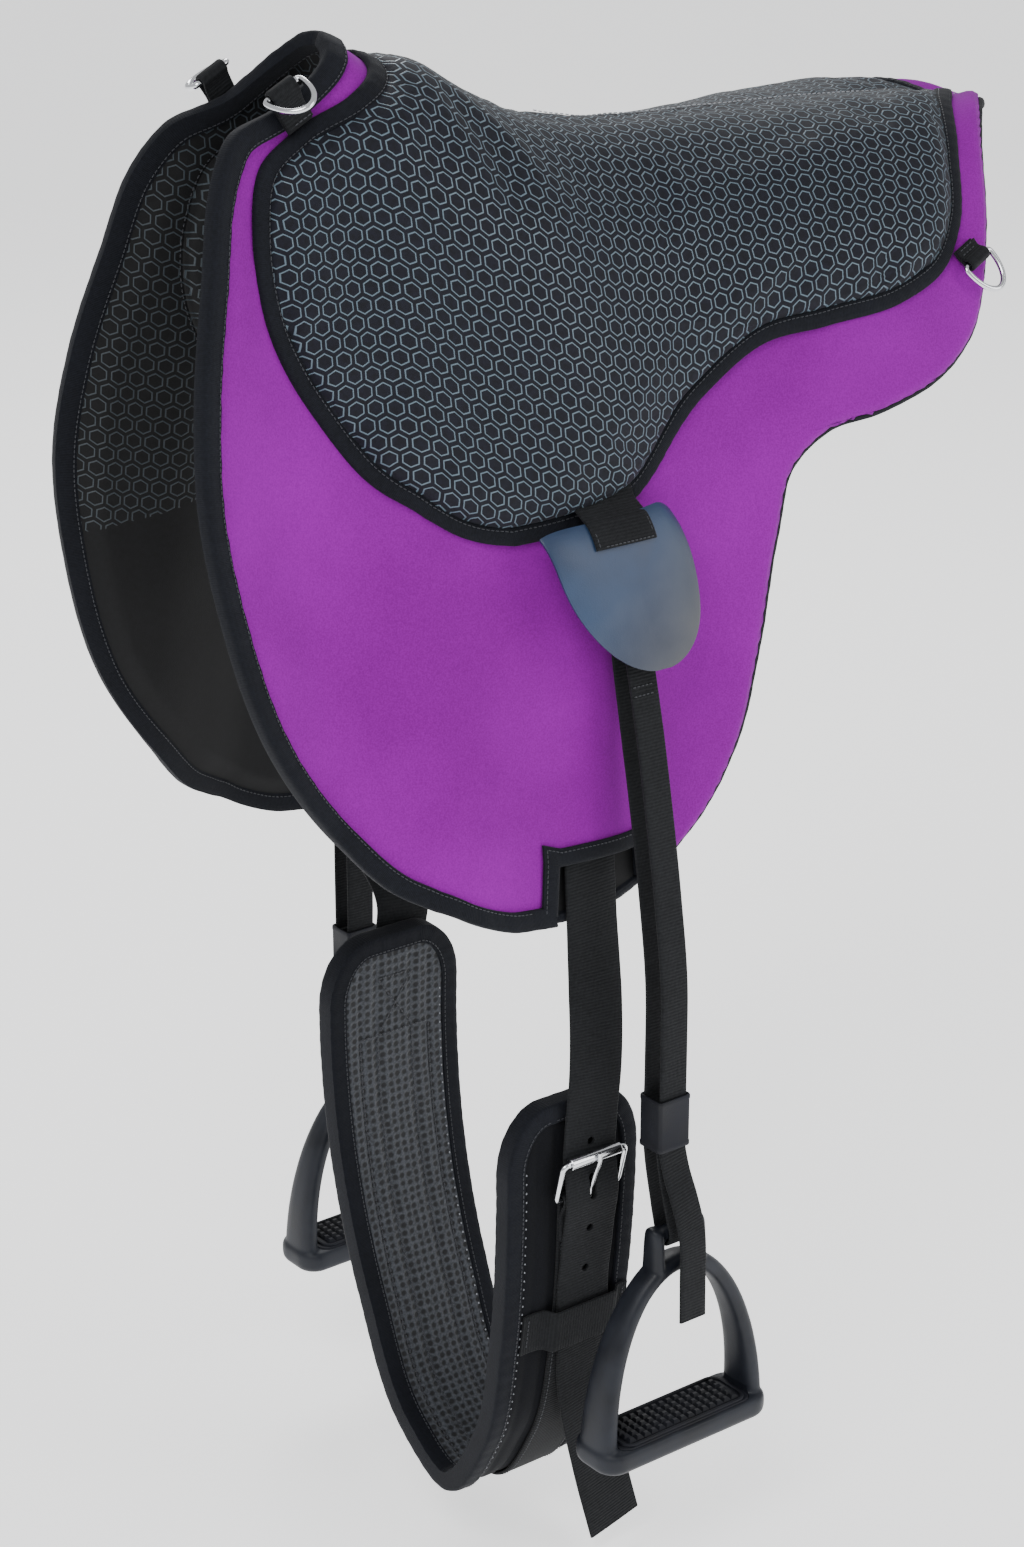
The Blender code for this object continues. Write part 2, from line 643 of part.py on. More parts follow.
def strap_point(sign, out, z):
    if z > HANGER_Z - 2 * HANGER_WIRE - WEB:
        out += lean(z) - lean(HANGER_Z)
    share = min(max((REAR_LEAN_FROM - z) / (REAR_LEAN_FROM - IRON_EYE_Z), 0.0), 1.0)
    return Vector((STIRRUP_X + REAR_LEAN * share, sign * (STIRRUP_Y - lean(z) + out), z))


def hanger_turn(sign):
    """Middle of the ring's round bow, about which the ring and its strap swing."""
    return strap_point(sign, 0.0, HANGER_Z) + Vector((0, 0, HANGER_CORNER))


def build_hangers():
    for side, sign in SIDES:
        bar = strap_point(sign, 0.0, HANGER_Z)
        depth = HANGER_CORNER + HANGER_HALF
        t = flank_at(STIRRUP_X, HANGER_Z + depth + HANGER_TAB_LENGTH)
        frame = pattern_frame(STIRRUP_X, t, math.pi / 2, sign)
        base, up, along, across = frame
        top = bar + Vector((0, 0, depth)) - base
        tab("hanger_tab_" + side, frame, top.dot(along), HANGER_TAB_ROOM, top.dot(up),
            HANGER_TAB_WIDTH, HANGER_TAB_REST)
        path = d_ring_path(bar, Vector((0, 0, 1)), Vector((1, 0, 0)), HANGER_HALF, depth,
                           HANGER_WIRE)
        ring = wire_ring("hanger_ring_" + side, path, HANGER_WIRE, 8, CHROME)
        set_origin(ring, hanger_turn(sign))


# Stirrup straps: webbing down from the ring, through the iron's eye and up into the
# keeper, with its spare end hanging in front
RUN = 0.0080
EYE_BAR = 0.0060
KEEPER_TOP = -0.600
KEEPER_HEIGHT = 0.038
KEEPER_WALL = 0.0016


def arc(centre_out, centre_z, radius, first, last, steps):
    return [(centre_out + radius * math.cos(math.radians(a)),
             centre_z + radius * math.sin(math.radians(a)))
            for a in np.linspace(first, last, steps + 1)]


def build_stirrup_straps():
    top_turn = HANGER_WIRE + GAP + WEB / 2
    eye_turn = EYE_BAR + 2 * GAP + WEB / 2
    middle = RUN - WEB - GAP
    route = [(0.0200, -0.768), (0.0195, -0.740), (0.0185, -0.705), (0.0150, -0.676),
             (RUN + 0.0022, -0.656), (RUN, KEEPER_TOP - KEEPER_HEIGHT), (RUN, KEEPER_TOP),
             (RUN, -0.52), (RUN, -0.46), (RUN, -0.40), (RUN, -0.34), (RUN - 0.001, -0.300),
             (top_turn + 0.0012, -0.268)]
    route += arc(0.0, HANGER_Z, top_turn, 0, 180, 6)
    route += [(-top_turn - 0.0012, -0.268), (-RUN + 0.001, -0.300), (-RUN, -0.34),
              (-RUN, -0.40), (-RUN, -0.46), (-RUN, -0.52), (-RUN, -0.638), (-RUN, -0.685)]
    route += arc(0.0, IRON_EYE_Z, eye_turn, 180, 360, 8)
    route += [(RUN - 0.0008, -0.692), (middle, -0.662), (middle, -0.638), (middle, -0.603)]
    for side, sign in SIDES:
        points = [strap_point(sign, out, z) for out, z in route]
        strap = band("stirrup_strap_" + side, points, Vector((1, 0, 0)), STIRRUP_WEB_WIDTH,
                     WEB, WEBBING)
        set_origin(strap, hanger_turn(sign))
        build_keeper(side, sign)


def build_keeper(side, sign):
    inner_x = STIRRUP_WEB_WIDTH / 2 + 2 * GAP
    inner_y = RUN + WEB / 2 + 2 * GAP
    centre = strap_point(sign, 0.0, KEEPER_TOP)
    round_off = 0.0025
    loops = []
    for grow in (0.0, KEEPER_WALL):
        loop = []
        for sx, sy, first in ((1, 1, 0), (-1, 1, 90), (-1, -1, 180), (1, -1, 270)):
            for k in range(3):
                a = math.radians(first + 45 * k)
                turn = round_off * (1 if grow else 0.4)
                loop.append((sx * (inner_x + grow - turn) + turn * math.cos(a),
                             sy * (inner_y + grow - turn) + turn * math.sin(a)))
        loops.append(loop)
    rings = []
    for i in range(len(loops[0])):
        rings.append([centre + Vector((loops[w][i][0], loops[w][i][1], -drop))
                      for w, drop in ((0, 0), (1, 0), (1, KEEPER_HEIGHT), (0, KEEPER_HEIGHT))])
    part = loft("strap_keeper_" + side, rings, RUBBER, closed=True)
    set_origin(part, centre)


# Leather flaps that cover the hangers
FLAP_TOP = -0.206
FLAP_DROP = 0.105
FLAP_HALF = 0.054
FLAP_X = -0.067
FLAP_SWEEP = 0.023
FLAP_Y = 0.1285
FLAP_THICK = 0.0026
PATCH_X = -0.062
PATCH_HALF = 0.026
PATCH_DROP = 0.019


def flap_out(x, drop):
    """Distance of the flap from the middle plane, round over the strap it covers."""
    across = abs(x - FLAP_X - FLAP_SWEEP * drop / FLAP_DROP) / FLAP_HALF
    swell = 0.0115 * (1 - math.exp(-drop / 0.012)) + 0.20 * drop
    return FLAP_Y + swell - 0.007 * across ** 3 * (0.3 + 0.7 * drop / FLAP_DROP)


def build_flaps():
    for side, sign in SIDES:
        top, bottom = [], []
        for v in np.linspace(0.0, 1.0, 8):
            drop = FLAP_DROP * v
            half = FLAP_HALF * math.sqrt(1 - (max(v - 0.25, 0.0) / 0.77) ** 2)
            row = []
            for u in np.linspace(-1.0, 1.0, 10):
                x = FLAP_X + FLAP_SWEEP * v + half * u
                corner = 0.006 * u ** 6 * (1 - v)
                row.append((x, flap_out(x, drop), FLAP_TOP - drop - corner))
            top.append([Vector((x, sign * (y + FLAP_THICK), z)) for x, y, z in row])
            bottom.append([Vector((x, sign * y, z)) for x, y, z in row])
        flap = slab("leather_flap_" + side, top, bottom, LEATHER)
        set_origin(flap, (FLAP_X, sign * FLAP_Y, FLAP_TOP))

        patch_top, patch_low = [], []
        for drop in np.linspace(0.0015, PATCH_DROP, 3):
            row = [(x, flap_out(x, drop) + FLAP_THICK + GAP, FLAP_TOP - drop)
                   for x in np.linspace(PATCH_X - PATCH_HALF, PATCH_X + PATCH_HALF, 5)]
            patch_low.append([Vector((x, sign * y, z)) for x, y, z in row])
            patch_top.append([Vector((x, sign * (y + WEB), z)) for x, y, z in row])
        slab("flap_patch_" + side, patch_top, patch_low, WEBBING)


# Stirrup irons: a moulded arch that swells towards the base, an eye on its crown and a
# pan that holds the studded tread
def rounded_section(centre, side, out, half_side, half_out, share=0.45):
    """Eight-sided ring round centre in the plane of side and out."""
    s, o = half_side, half_out
    cs, co = s * (1 - share), o * (1 - share)
    corners = ((s, co), (cs, o), (-cs, o), (-s, co), (-s, -co), (-cs, -o), (cs, -o), (s, -co))
    return [centre + side * a + out * b for a, b in corners]


BASE_TOP = -0.146
BASE_DEPTH = 0.014
BASE_HALF = 0.0755
BASE_OUT = 0.0235


def stadium(half_long, half_wide, corner, z, centre):
    """Rounded rectangle of sixteen points at the height z below the eye."""
    loop = []
    for sx, sy, first in ((1, 1, 0), (-1, 1, 90), (-1, -1, 180), (1, -1, 270)):
        for k in range(4):
            a = math.radians(first + 30 * k)
            loop.append(centre + Vector((sx * (half_long - corner) + corner * math.cos(a),
                                         sy * (half_wide - corner) + corner * math.sin(a), z)))
    return loop


def build_irons():
    for side, sign in SIDES:
        eye = strap_point(sign, 0.0, IRON_EYE_Z)
        outward = Vector((0, sign, 0))
        rings = []
        for a in np.linspace(math.radians(1), math.radians(179), 21):
            height = math.sin(a)
            foot = Vector((IRON_HALF_WIDTH * math.cos(a), 0, BASE_TOP - 0.004))
            centre = eye + foot + Vector((0, 0, (IRON_RISE - 0.016) * height))
            ahead = Vector((-IRON_HALF_WIDTH * math.sin(a), 0, IRON_RISE * math.cos(a)))
            ahead.normalize()
            inward = ahead.cross(Vector((0, 1, 0)))
            thick = 0.0074 - 0.0016 * height
            depth = 0.0165 - 0.0068 * min(height * 1.15, 1.0)
            rings.append(rounded_section(centre, inward, outward, thick, depth))
        arch = loft("stirrup_iron_" + side, rings, IRON_PLASTIC, smooth=50.0)

        base = loft("base_cutter_" + side,
                    [stadium(BASE_HALF - 0.005, BASE_OUT - 0.006, 0.012,
                             BASE_TOP - BASE_DEPTH - 0.003, eye),
                     stadium(BASE_HALF, BASE_OUT, 0.016, BASE_TOP - BASE_DEPTH + 0.003, eye),
                     stadium(BASE_HALF, BASE_OUT, 0.016, BASE_TOP - 0.003, eye),
                     stadium(BASE_HALF - 0.002, BASE_OUT - 0.002, 0.014, BASE_TOP, eye)],
                    IRON_PLASTIC)
        cut(arch, base, "UNION")
        bar = loft("eye_cutter_" + side,
                   [[eye + Vector((x, EYE_BAR * math.cos(a), EYE_BAR * math.sin(a)))
                     for a in (2 * math.pi * k / 12 for k in range(12))]
                    for x in (-0.0235, 0.0235)], IRON_PLASTIC)
        cut(arch, bar, "UNION")
        for k, place in enumerate((-0.0185, 0.0185)):
            lug = loft("lug_cutter_%s_%d" % (side, k),
                       [rounded_section(eye + Vector((place, 0, z)), Vector((1, 0, 0)),
                                        Vector((0, 1, 0)), 0.0046, half)
                        for z, half in ((-0.0225, 0.0096), (-0.004, 0.0086), (0.0035, 0.0072),
                                        (0.0064, 0.0040))], IRON_PLASTIC)
            cut(arch, lug, "UNION")
        pan = loft("pan_cutter_" + side,
                   [stadium(TREAD_LENGTH / 2 + GAP, TREAD_WIDTH / 2 + GAP, 0.010, z, eye)
                    for z in (BASE_TOP - 0.007, BASE_TOP + 0.0058)], IRON_PLASTIC)
        cut(arch, pan)
        set_origin(arch, eye)
        build_tread(side, eye)


def build_tread(side, eye):
    """Rubber pad in the pan, its top studded with low pyramids inside a plain rim."""
    low = BASE_TOP - 0.007 + GAP
    high = BASE_TOP + 0.0008
    half_long = TREAD_LENGTH / 2
    half_wide = TREAD_WIDTH / 2
    bm = bmesh.new()
    outline = [bm.verts.new(v) for v in stadium(half_long, half_wide, 0.010, low, eye)]
    floor = bm.faces.new(outline)
    top = bmesh.ops.extrude_face_region(bm, geom=[floor])
    moved = [v for v in top["geom"] if isinstance(v, bmesh.types.BMVert)]
    bmesh.ops.translate(bm, vec=(0, 0, high - low), verts=moved)
    lid = [f for f in top["geom"] if isinstance(f, bmesh.types.BMFace)][0]
    bmesh.ops.delete(bm, geom=[lid], context="FACES_ONLY")
    columns = 11
    rows = 4
    rim = 0.0035
    step_x = (TREAD_LENGTH - 2 * rim - 0.008) / columns
    step_y = (TREAD_WIDTH - 2 * rim) / rows
    grid = [[bm.verts.new(eye + Vector(((i - columns / 2) * step_x, (j - rows / 2) * step_y,
                                        high))) for i in range(columns + 1)]
            for j in range(rows + 1)]
    cells = []
    for j in range(rows):
        for i in range(columns):
            cells.append(bm.faces.new((grid[j][i], grid[j][i + 1], grid[j + 1][i + 1],
                                       grid[j + 1][i])))
    edge_top = [e for v in moved for e in v.link_edges if all(w in moved for w in e.verts)]
    edge_cells = [e for e in bm.edges if len(e.link_faces) == 1 and e not in edge_top
                  and e.link_faces[0] in cells]
    bmesh.ops.bridge_loops(bm, edges=list(set(edge_top)) + edge_cells)
    for cell in cells:
        peak = bmesh.ops.poke(bm, faces=[cell])
        peak["verts"][0].co.z += 0.0022
    mesh = bpy.data.meshes.new("stirrup_tread_" + side)
    bmesh.ops.recalc_face_normals(bm, faces=bm.faces)
    bm.to_mesh(mesh)
    bm.free()
    mesh.materials.append(RUBBER)
    part = bpy.data.objects.new("stirrup_tread_" + side, mesh)
    bpy.context.scene.collection.objects.link(part)


# Girth: outer cloth, foam and mesh liner round one hanging curve
GIRTH_OUT = GIRTH_FOAM / 2 + GAP + GIRTH_SKIN
GIRTH_STEPS = 19
BAR = 0.0022
ROLLER = 0.0042
BUCKLE_RISE = 0.030
BAR_INSET = 0.068


def girth_frames(shares):
    """Points of the girth's middle line, with directions outwards and along it."""
    inside = np.clip(shares, 0.0, 1.0)
    line = smooth_curve(GIRTH_LINE, inside)
    ahead = smooth_curve(GIRTH_LINE, np.clip(inside + 0.002, 0, 1))
    before = smooth_curve(GIRTH_LINE, np.clip(inside - 0.002, 0, 1))
    frames = []
    for (y, z), (ya, za), (yb, zb), past in zip(line, ahead, before, shares - inside):
        along = Vector((0, ya - yb, za - zb)).normalized()
        out = Vector((0, along.z, -along.y))
        frames.append((Vector((0, y, z)) + along * (past * LENGTH), out, along))
    for share, (point, _, _) in zip(shares, frames):
        point.x = GIRTH_X + GIRTH_DRIFT * (1 - 2 * share)
    return frames


def girth_length():
    chords = np.linalg.norm(np.diff(smooth_curve(GIRTH_LINE, np.linspace(0, 1, 400)), axis=0),
                            axis=1)
    return chords.sum()


LENGTH = girth_length()


def girth_half_width(share, inset=0.0):
    """Half width along the girth: rounded ends and a slight waist in the middle."""
    middle = abs(share - 0.5) * 2
    waist = 0.004 * math.cos(math.pi * min(middle, 1.0) / 2) ** 2
    end = (1 - middle) * LENGTH / 2 - inset
    corner = 0.045
    cut_in = 0.0
    if end < corner:
        cut_in = 0.033 * (1 - math.sqrt(max(1 - (1 - end / corner) ** 2, 0.0)))
    return GIRTH_WIDTH / 2 - waist - cut_in - inset


GIRTH_TAPE = 0.012
GIRTH_SHARES = np.concatenate([[0, 0.008, 0.022, 0.040],
                               np.linspace(0.085, 0.915, GIRTH_STEPS - 7),
                               [0.960, 0.978, 0.992, 1]])


def girth_rows(inset):
    """Left and right ends of every row across the girth, as share and x from its middle."""
    shares = (inset + GIRTH_SHARES * (LENGTH - 2 * inset)) / LENGTH
    return [(share, girth_half_width(share, inset)) for share in shares]


def girth_loop(inset):
    """Outline of the girth in the order that slab runs round its grid."""
    rows = girth_rows(inset)
    half = len(rows) // 2
    left = [(share, -wide) for share, wide in rows]
    right = [(share, wide) for share, wide in rows]
    ends = [[(rows[k][0], rows[k][1] * u) for u in (-0.5, 0.0, 0.5)] for k in (0, -1)]
    return left[half:0:-1] + [left[0]] + ends[0] + right + ends[1][::-1] + left[:half:-1]


def on_girth(spot, height):
    share, across = spot
    (point, out, _), = girth_frames([share])
    return point + out * height + Vector((across, 0, 0))


def girth_layer(name, high, low, material):
    """Layer of the whole girth, with a strip as wide as the binding all round its grid."""
    grid = [[(share, wide * u) for u in (-1.0, -0.5, 0.0, 0.5, 1.0)]
            for share, wide in girth_rows(GIRTH_TAPE)]
    sheets = [[[on_girth(spot, h) for spot in row] for row in grid] for h in (high, low)]
    rims = [[on_girth(spot, h) for spot in girth_loop(0.0)] for h in (high, low)]
    return slab(name, *sheets, material, rims=rims)


def build_girth():
    half = GIRTH_FOAM / 2
    girth_layer("girth_outer", half + GAP + GIRTH_SKIN, half + GAP, BLACK_NEOPRENE)
    girth_layer("girth_foam", half, -half, FOAM_GREY)
    girth_layer("girth_mesh_liner", -half - GAP, -half - GAP - GIRTH_MESH, AIR_MESH)
    high = half + 2 * GAP + GIRTH_SKIN + TAPE
    low = -half - 2 * GAP - GIRTH_MESH - TAPE
    inner, wall, outer = [girth_loop(inset) for inset in (GIRTH_TAPE, -WALL_GAP,
                                                          -WALL_GAP - TAPE)]
    rings = []
    for a, b, c in zip(inner, wall, outer):
        section = ((a, high), (c, high), (c, low), (a, low),
                   (a, low + TAPE), (b, low + TAPE), (b, high - TAPE), (a, high - TAPE))
        rings.append([on_girth(spot, h) for spot, h in section])
    loft("girth_binding", rings, TAPE_BLACK, closed=True, smooth=40.0, split=(2, 5, 6))


WEB_HIGH = GIRTH_OUT + 2 * GAP + WEB / 2
LOOP_TURN = BAR + GAP + WEB / 2
BAR_OUT = WEB_HIGH + LOOP_TURN
STRAP_OVER_BAR = BAR_OUT + LOOP_TURN + WEB + GAP
STRAP_UNDER_ROLLER = 0.0135
PRONG = 0.0026
PRONG_WIDTH = 0.0036


def bar_frame(near):
    """Pivot bar of a buckle, with directions outwards and towards the girth's end."""
    share = BAR_INSET / LENGTH
    point, out, along = girth_frames([share if near else 1 - share])[0]
    bar = point + out * BAR_OUT
    bar.x = BUCKLE_X
    return bar, out, (-along if near else along)


def build_girth_webbing():
    """Webbing down the outside of the girth, folded round a buckle bar at each end."""
    first = (BAR_INSET + 0.004) / LENGTH
    sewn = WEB_HIGH + WEB + GAP
    folds = []
    for near in (True, False):
        bar, out, away = bar_frame(near)
        lift = sewn - BAR_OUT
        fold = [bar - away * back + out * lift for back in (0.032, 0.012)]
        fold += [bar + out * (LOOP_TURN * math.cos(a)) + away * (LOOP_TURN * math.sin(a))
                 for a in np.linspace(0, math.pi, 9)]
        folds.append(fold)
    path = folds[0]
    stations = [share for share, _ in girth_rows(GIRTH_TAPE) if first < share < 1 - first]
    for point, out, _ in girth_frames([first] + stations + [1 - first]):
        point = point + out * WEB_HIGH
        point.x = BUCKLE_X
        path.append(point)
    path += folds[1][::-1]
    webbing = band("girth_webbing", path, Vector((1, 0, 0)), GIRTH_WEB_WIDTH, WEB, WEBBING)
    for side, near in (("near", True), ("off", False)):
        bar, out, away = bar_frame(near)
        half = PRONG_WIDTH / 2 + 0.0008
        rings = []
        for x in (-half, half):
            rings.append([bar + Vector((x, 0, 0)) + out * o + away * s
                          for o, s in ((-0.0018, -0.0085), (-0.0018, 0.0080),
                                       (0.0070, 0.0080), (0.0070, -0.0085))])
        cut(webbing, loft("prong_slot_cutter_" + side, rings, WEBBING))


# Roller buckles
FRAME_HALF = GIRTH_WEB_WIDTH / 2 + 0.0045


def buckle_axes(near):
    """Pivot bar and roller centres, with directions outwards and up the strap."""
    bar, out, away = bar_frame(near)
    over = STRAP_UNDER_ROLLER + WEB / 2 + GAP + ROLLER - BAR_OUT
    return bar, bar + away * BUCKLE_RISE + out * over, out, away


def build_buckles():
    for side, near in (("near", True), ("off", False)):
        bar, roller, out, away = buckle_axes(near)
        rise = roller - bar
        up = rise.normalized()
        corner = 0.004
        path = []
        for sx, top, first in ((1, 0, -90), (1, 1, 0), (-1, 1, 90), (-1, 0, 180)):
            mid = Vector((sx * (FRAME_HALF - corner), 0, 0))
            mid += bar + up * (rise.length - corner if top else corner)
            for k in range(3):
                a = math.radians(first + 45 * k)
                path.append(mid + Vector((corner * math.cos(a), 0, 0))
                            + up * (corner * math.sin(a)))
        wire_ring("buckle_frame_" + side, path, BAR, 8, CHROME)

        half = GIRTH_WEB_WIDTH / 2 - 0.001
        face = up.cross(Vector((1, 0, 0))).normalized()
        rings = []
        for k in range(12):
            a = 2 * math.pi * k / 12
            ray = up * math.cos(a) + face * math.sin(a)
            rings.append([roller + ray * r + Vector((x, 0, 0))
                          for r, x in ((ROLLER, half), (ROLLER, -half),
                                       (BAR + GAP, -half), (BAR + GAP, half))])
        part = loft("buckle_roller_" + side, rings, CHROME, closed=True)
        set_origin(part, roller)
        build_prong(side, bar, roller, out, away)


def build_prong(side, bar, roller, out, away):
    """Prong curled round the pivot bar, rising through the strap and over the roller."""
    turn = BAR + GAP + PRONG / 2
    reach = (roller - bar).dot(away)
    height = (roller - bar).dot(out) + ROLLER + PRONG / 2 + GAP
    path = [(turn * math.cos(math.radians(a)), turn * math.sin(math.radians(a)))
            for a in range(-100, 1, 20)]
    path += [(turn + 0.0004, 0.003), (turn + 0.25 * (height - turn), 0.3 * reach),
             (turn + 0.72 * (height - turn), 0.72 * reach), (height - 0.0004, reach - 0.003),
             (height, reach), (height - 0.0004, reach + 0.004)]
    points = [bar + out * o + away * s for o, s in path]
    part = band("buckle_prong_" + side, points, Vector((1, 0, 0)), PRONG_WIDTH, PRONG, CHROME)
    set_origin(part, bar)


# Girth straps: from the cut-out down through the buckle, with punched holes
HOLE_PITCH = 0.033
HOLE = 0.0030
STRAP_ON_LINING = LINING_HIGH + 3 * GAP + WEB / 2
STRAP_TOP = 0.5285
# Height over the girth's middle line, and distance from the bar towards the girth's end
STRAP_AT_BUCKLE = [(0.0112, 0.078), (0.0116, 0.058), (0.0124, 0.045), (0.0135, 0.030),
                   (0.0155, 0.017), (STRAP_OVER_BAR, 0.003), (STRAP_OVER_BAR, -0.003),
                   (0.0162, -0.014), (0.0142, -0.026), (0.0118, -0.046)]


def strap_control(near):
    """Points that the middle of a girth strap passes, from the pad to its tail."""
    sign = NEAR if near else OFF
    points = [on_back(GIRTH_STRAP_X, sign * (STRAP_TOP + down), STRAP_ON_LINING)
              for down in (0.0, 0.011, 0.022, 0.033)]
    bar, out, away = bar_frame(near)
    for height, beyond in STRAP_AT_BUCKLE:
        point = bar + out * (height - BAR_OUT) + away * beyond
        point.x += (GIRTH_STRAP_X - BUCKLE_X) * max((beyond - 0.030) / 0.120, 0.0)
        points.append(point)
    first = (BAR_INSET + 0.070) / LENGTH
    lifted = WEB_HIGH + WEB + 4 * GAP
    reach = (0.0, 0.05, 0.10)
    for k in reach:
        share = first + k if near else 1 - first - k
        point, outward, _ = girth_frames([share])[0]
        point = point + outward * lifted
        point.x = BUCKLE_X + 0.08 * k
        points.append(point)
    if near:
        points += [Vector((BUCKLE_X + 0.024, -0.1330, -0.905)),
                   Vector((BUCKLE_X + 0.036, -0.1370, -0.958))]
    return points


def build_girth_straps():
    for side, near in (("near", True), ("off", False)):
        steps = 40 if near else 34
        shares = np.concatenate([[0.0, 0.006, 0.015], np.linspace(0.030, 1.0, steps)])
        path = smooth_curve([tuple(p) for p in strap_control(near)], shares)
        reach = np.concatenate([[0.0], np.cumsum(np.linalg.norm(np.diff(path, axis=0),
                                                                axis=1))])
        _, _, _, flat = pattern_frame(GIRTH_STRAP_X, STRAP_TOP + 0.02, math.pi / 2,
                                      NEAR if near else OFF)
        flat *= math.copysign(1.0, flat.x)
        across, widths = [], []
        for run in reach:
            turn = min(max((run - 0.035) / 0.050, 0.0), 1.0)
            across.append(flat * (1 - turn) + Vector((1, 0, 0)) * turn)
            short = max(1 - run / (GIRTH_WEB_WIDTH / 2), 0.0)
            widths.append(GIRTH_WEB_WIDTH * max(math.sqrt(1 - short ** 2), 0.3))
        part = band("girth_strap_" + side, [Vector(p) for p in path], across, widths, WEB,
                    WEBBING)
        bar, out, away = bar_frame(near)
        slot = bar + away * 0.0065 + out * (STRAP_OVER_BAR - 0.0004 - BAR_OUT)
        for k in range(-1, 4 if near else 2):
            cut(part, hole_cutter("hole_cutter_%s_%d" % (side, k + 1), path, slot, k))
        sewn = strap_control(near)[2]
        set_origin(part, (GIRTH_HINGE_X, sewn.y, GIRTH_HINGE_Z))


def hole_cutter(name, path, slot, index):
    """Punch through the strap, index holes past the slot that the prong stands in."""
    reach = np.concatenate([[0.0], np.cumsum(np.linalg.norm(np.diff(path, axis=0), axis=1))])
    fine = np.linspace(0.0, reach[-1], 2000)
    dense = np.column_stack([np.interp(fine, reach, c) for c in path.T])
    where = fine[np.linalg.norm(dense - np.array(slot), axis=1).argmin()] + index * HOLE_PITCH
    here = Vector([np.interp(where, reach, c) for c in path.T])
    ahead = (Vector([np.interp(where + 0.003, reach, c) for c in path.T])
             - Vector([np.interp(where - 0.003, reach, c) for c in path.T])).normalized()
    wide = Vector((1, 0, 0))
    wide = (wide - ahead * wide.dot(ahead)).normalized()
    through = ahead.cross(wide)
    straight = 0.0068 if index == 0 else 0.0
    rings = []
    for h in (-0.005, 0.005):
        rings.append([here + through * h + wide * (HOLE * math.cos(a))
                      + ahead * (HOLE * math.sin(a) + math.copysign(straight, math.sin(a)))
                      for a in (2 * math.pi * (k + 0.5) / 8 for k in range(8))])
    return loft(name, rings, WEBBING)


# Keeper loops across the girth, which the strap tails run under
def build_girth_keepers():
    thick = 0.0018
    for name, share in (("girth_keeper_near", 0.225), ("girth_keeper_off", 0.790)):
        (point, out, along), = girth_frames([share])
        middle = BUCKLE_X + 0.004
        inner = GIRTH_WEB_WIDTH / 2 + 0.0015
        low = GIRTH_OUT + GAP + thick / 2
        over_tape = GIRTH_OUT + 4 * GAP + TAPE + thick / 2
        high = WEB_HIGH + 2 * WEB + 6 * GAP + thick / 2
        left = point.x - girth_half_width(share) + GIRTH_TAPE + 0.002
        right = point.x + girth_half_width(share) - 0.001
        path = [(left, low), (middle - inner - 0.016, low), (middle - inner - 0.010, low + 0.0014),
                (middle - inner - 0.005, high - 0.0006), (middle - inner + 0.004, high),
                (middle + inner - 0.006, high), (middle + inner, high - 0.0006),
                (middle + inner + 0.005, over_tape + 0.0006), (right, over_tape)]
        points = [Vector((x, point.y, point.z)) + out * h for x, h in path]
        band(name, points, along, 0.033, thick, WEBBING)


build_pad()
build_seat()
build_panels()
build_d_rings()
build_hangers()
build_stirrup_straps()
build_flaps()
build_irons()
build_girth()
build_girth_webbing()
build_buckles()
build_girth_straps()
build_girth_keepers()
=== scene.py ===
"""Bareback pad with stirrups and girth, as it hangs on a horse's back.

Metres, +Z up.  +X runs to the tail, -Y is the near (left) side, +Y the off side.
"""
import json
import math

import bmesh
import bpy
import numpy as np
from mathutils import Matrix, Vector, kdtree, noise

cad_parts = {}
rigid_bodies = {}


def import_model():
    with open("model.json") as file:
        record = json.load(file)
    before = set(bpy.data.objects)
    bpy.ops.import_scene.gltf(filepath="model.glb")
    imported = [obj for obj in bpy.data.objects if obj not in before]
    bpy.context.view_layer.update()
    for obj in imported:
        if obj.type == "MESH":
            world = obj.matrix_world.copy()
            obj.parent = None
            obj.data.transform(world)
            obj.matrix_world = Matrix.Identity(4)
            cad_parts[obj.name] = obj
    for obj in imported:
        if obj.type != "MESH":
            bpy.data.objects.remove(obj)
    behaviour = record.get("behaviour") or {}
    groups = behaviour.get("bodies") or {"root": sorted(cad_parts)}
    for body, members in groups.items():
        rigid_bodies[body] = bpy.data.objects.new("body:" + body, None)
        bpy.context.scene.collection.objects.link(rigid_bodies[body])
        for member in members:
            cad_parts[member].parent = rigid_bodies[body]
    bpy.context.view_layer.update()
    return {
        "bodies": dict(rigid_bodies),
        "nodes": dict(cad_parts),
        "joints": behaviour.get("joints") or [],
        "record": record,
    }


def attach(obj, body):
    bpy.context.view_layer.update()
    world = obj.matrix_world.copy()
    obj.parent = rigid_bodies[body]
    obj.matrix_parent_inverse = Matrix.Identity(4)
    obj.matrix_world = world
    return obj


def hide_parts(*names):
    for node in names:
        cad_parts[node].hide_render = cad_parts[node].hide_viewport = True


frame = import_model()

# Studio.  A pale seamless floor under the hanging tack, two large softboxes in front,
# a strip behind for the sheen of the leather and the metal, and the camera at the
# height of a rider's eye, looking down on the near side.
FLOOR_Z = -0.975
view_point = bpy.data.cameras.new("camera")
view_point.sensor_fit = "VERTICAL"
view_point.sensor_height = 24.0
view_point.lens = 52.75
view_point.clip_end = 60.0
camera = bpy.data.objects.new("camera", view_point)
camera.location = (-1.4086, -1.7410, 0.4221)
camera.rotation_euler = (math.radians(69.0), 0.0, math.radians(-38.0))
bpy.context.scene.collection.objects.link(camera)
bpy.context.scene.camera = camera

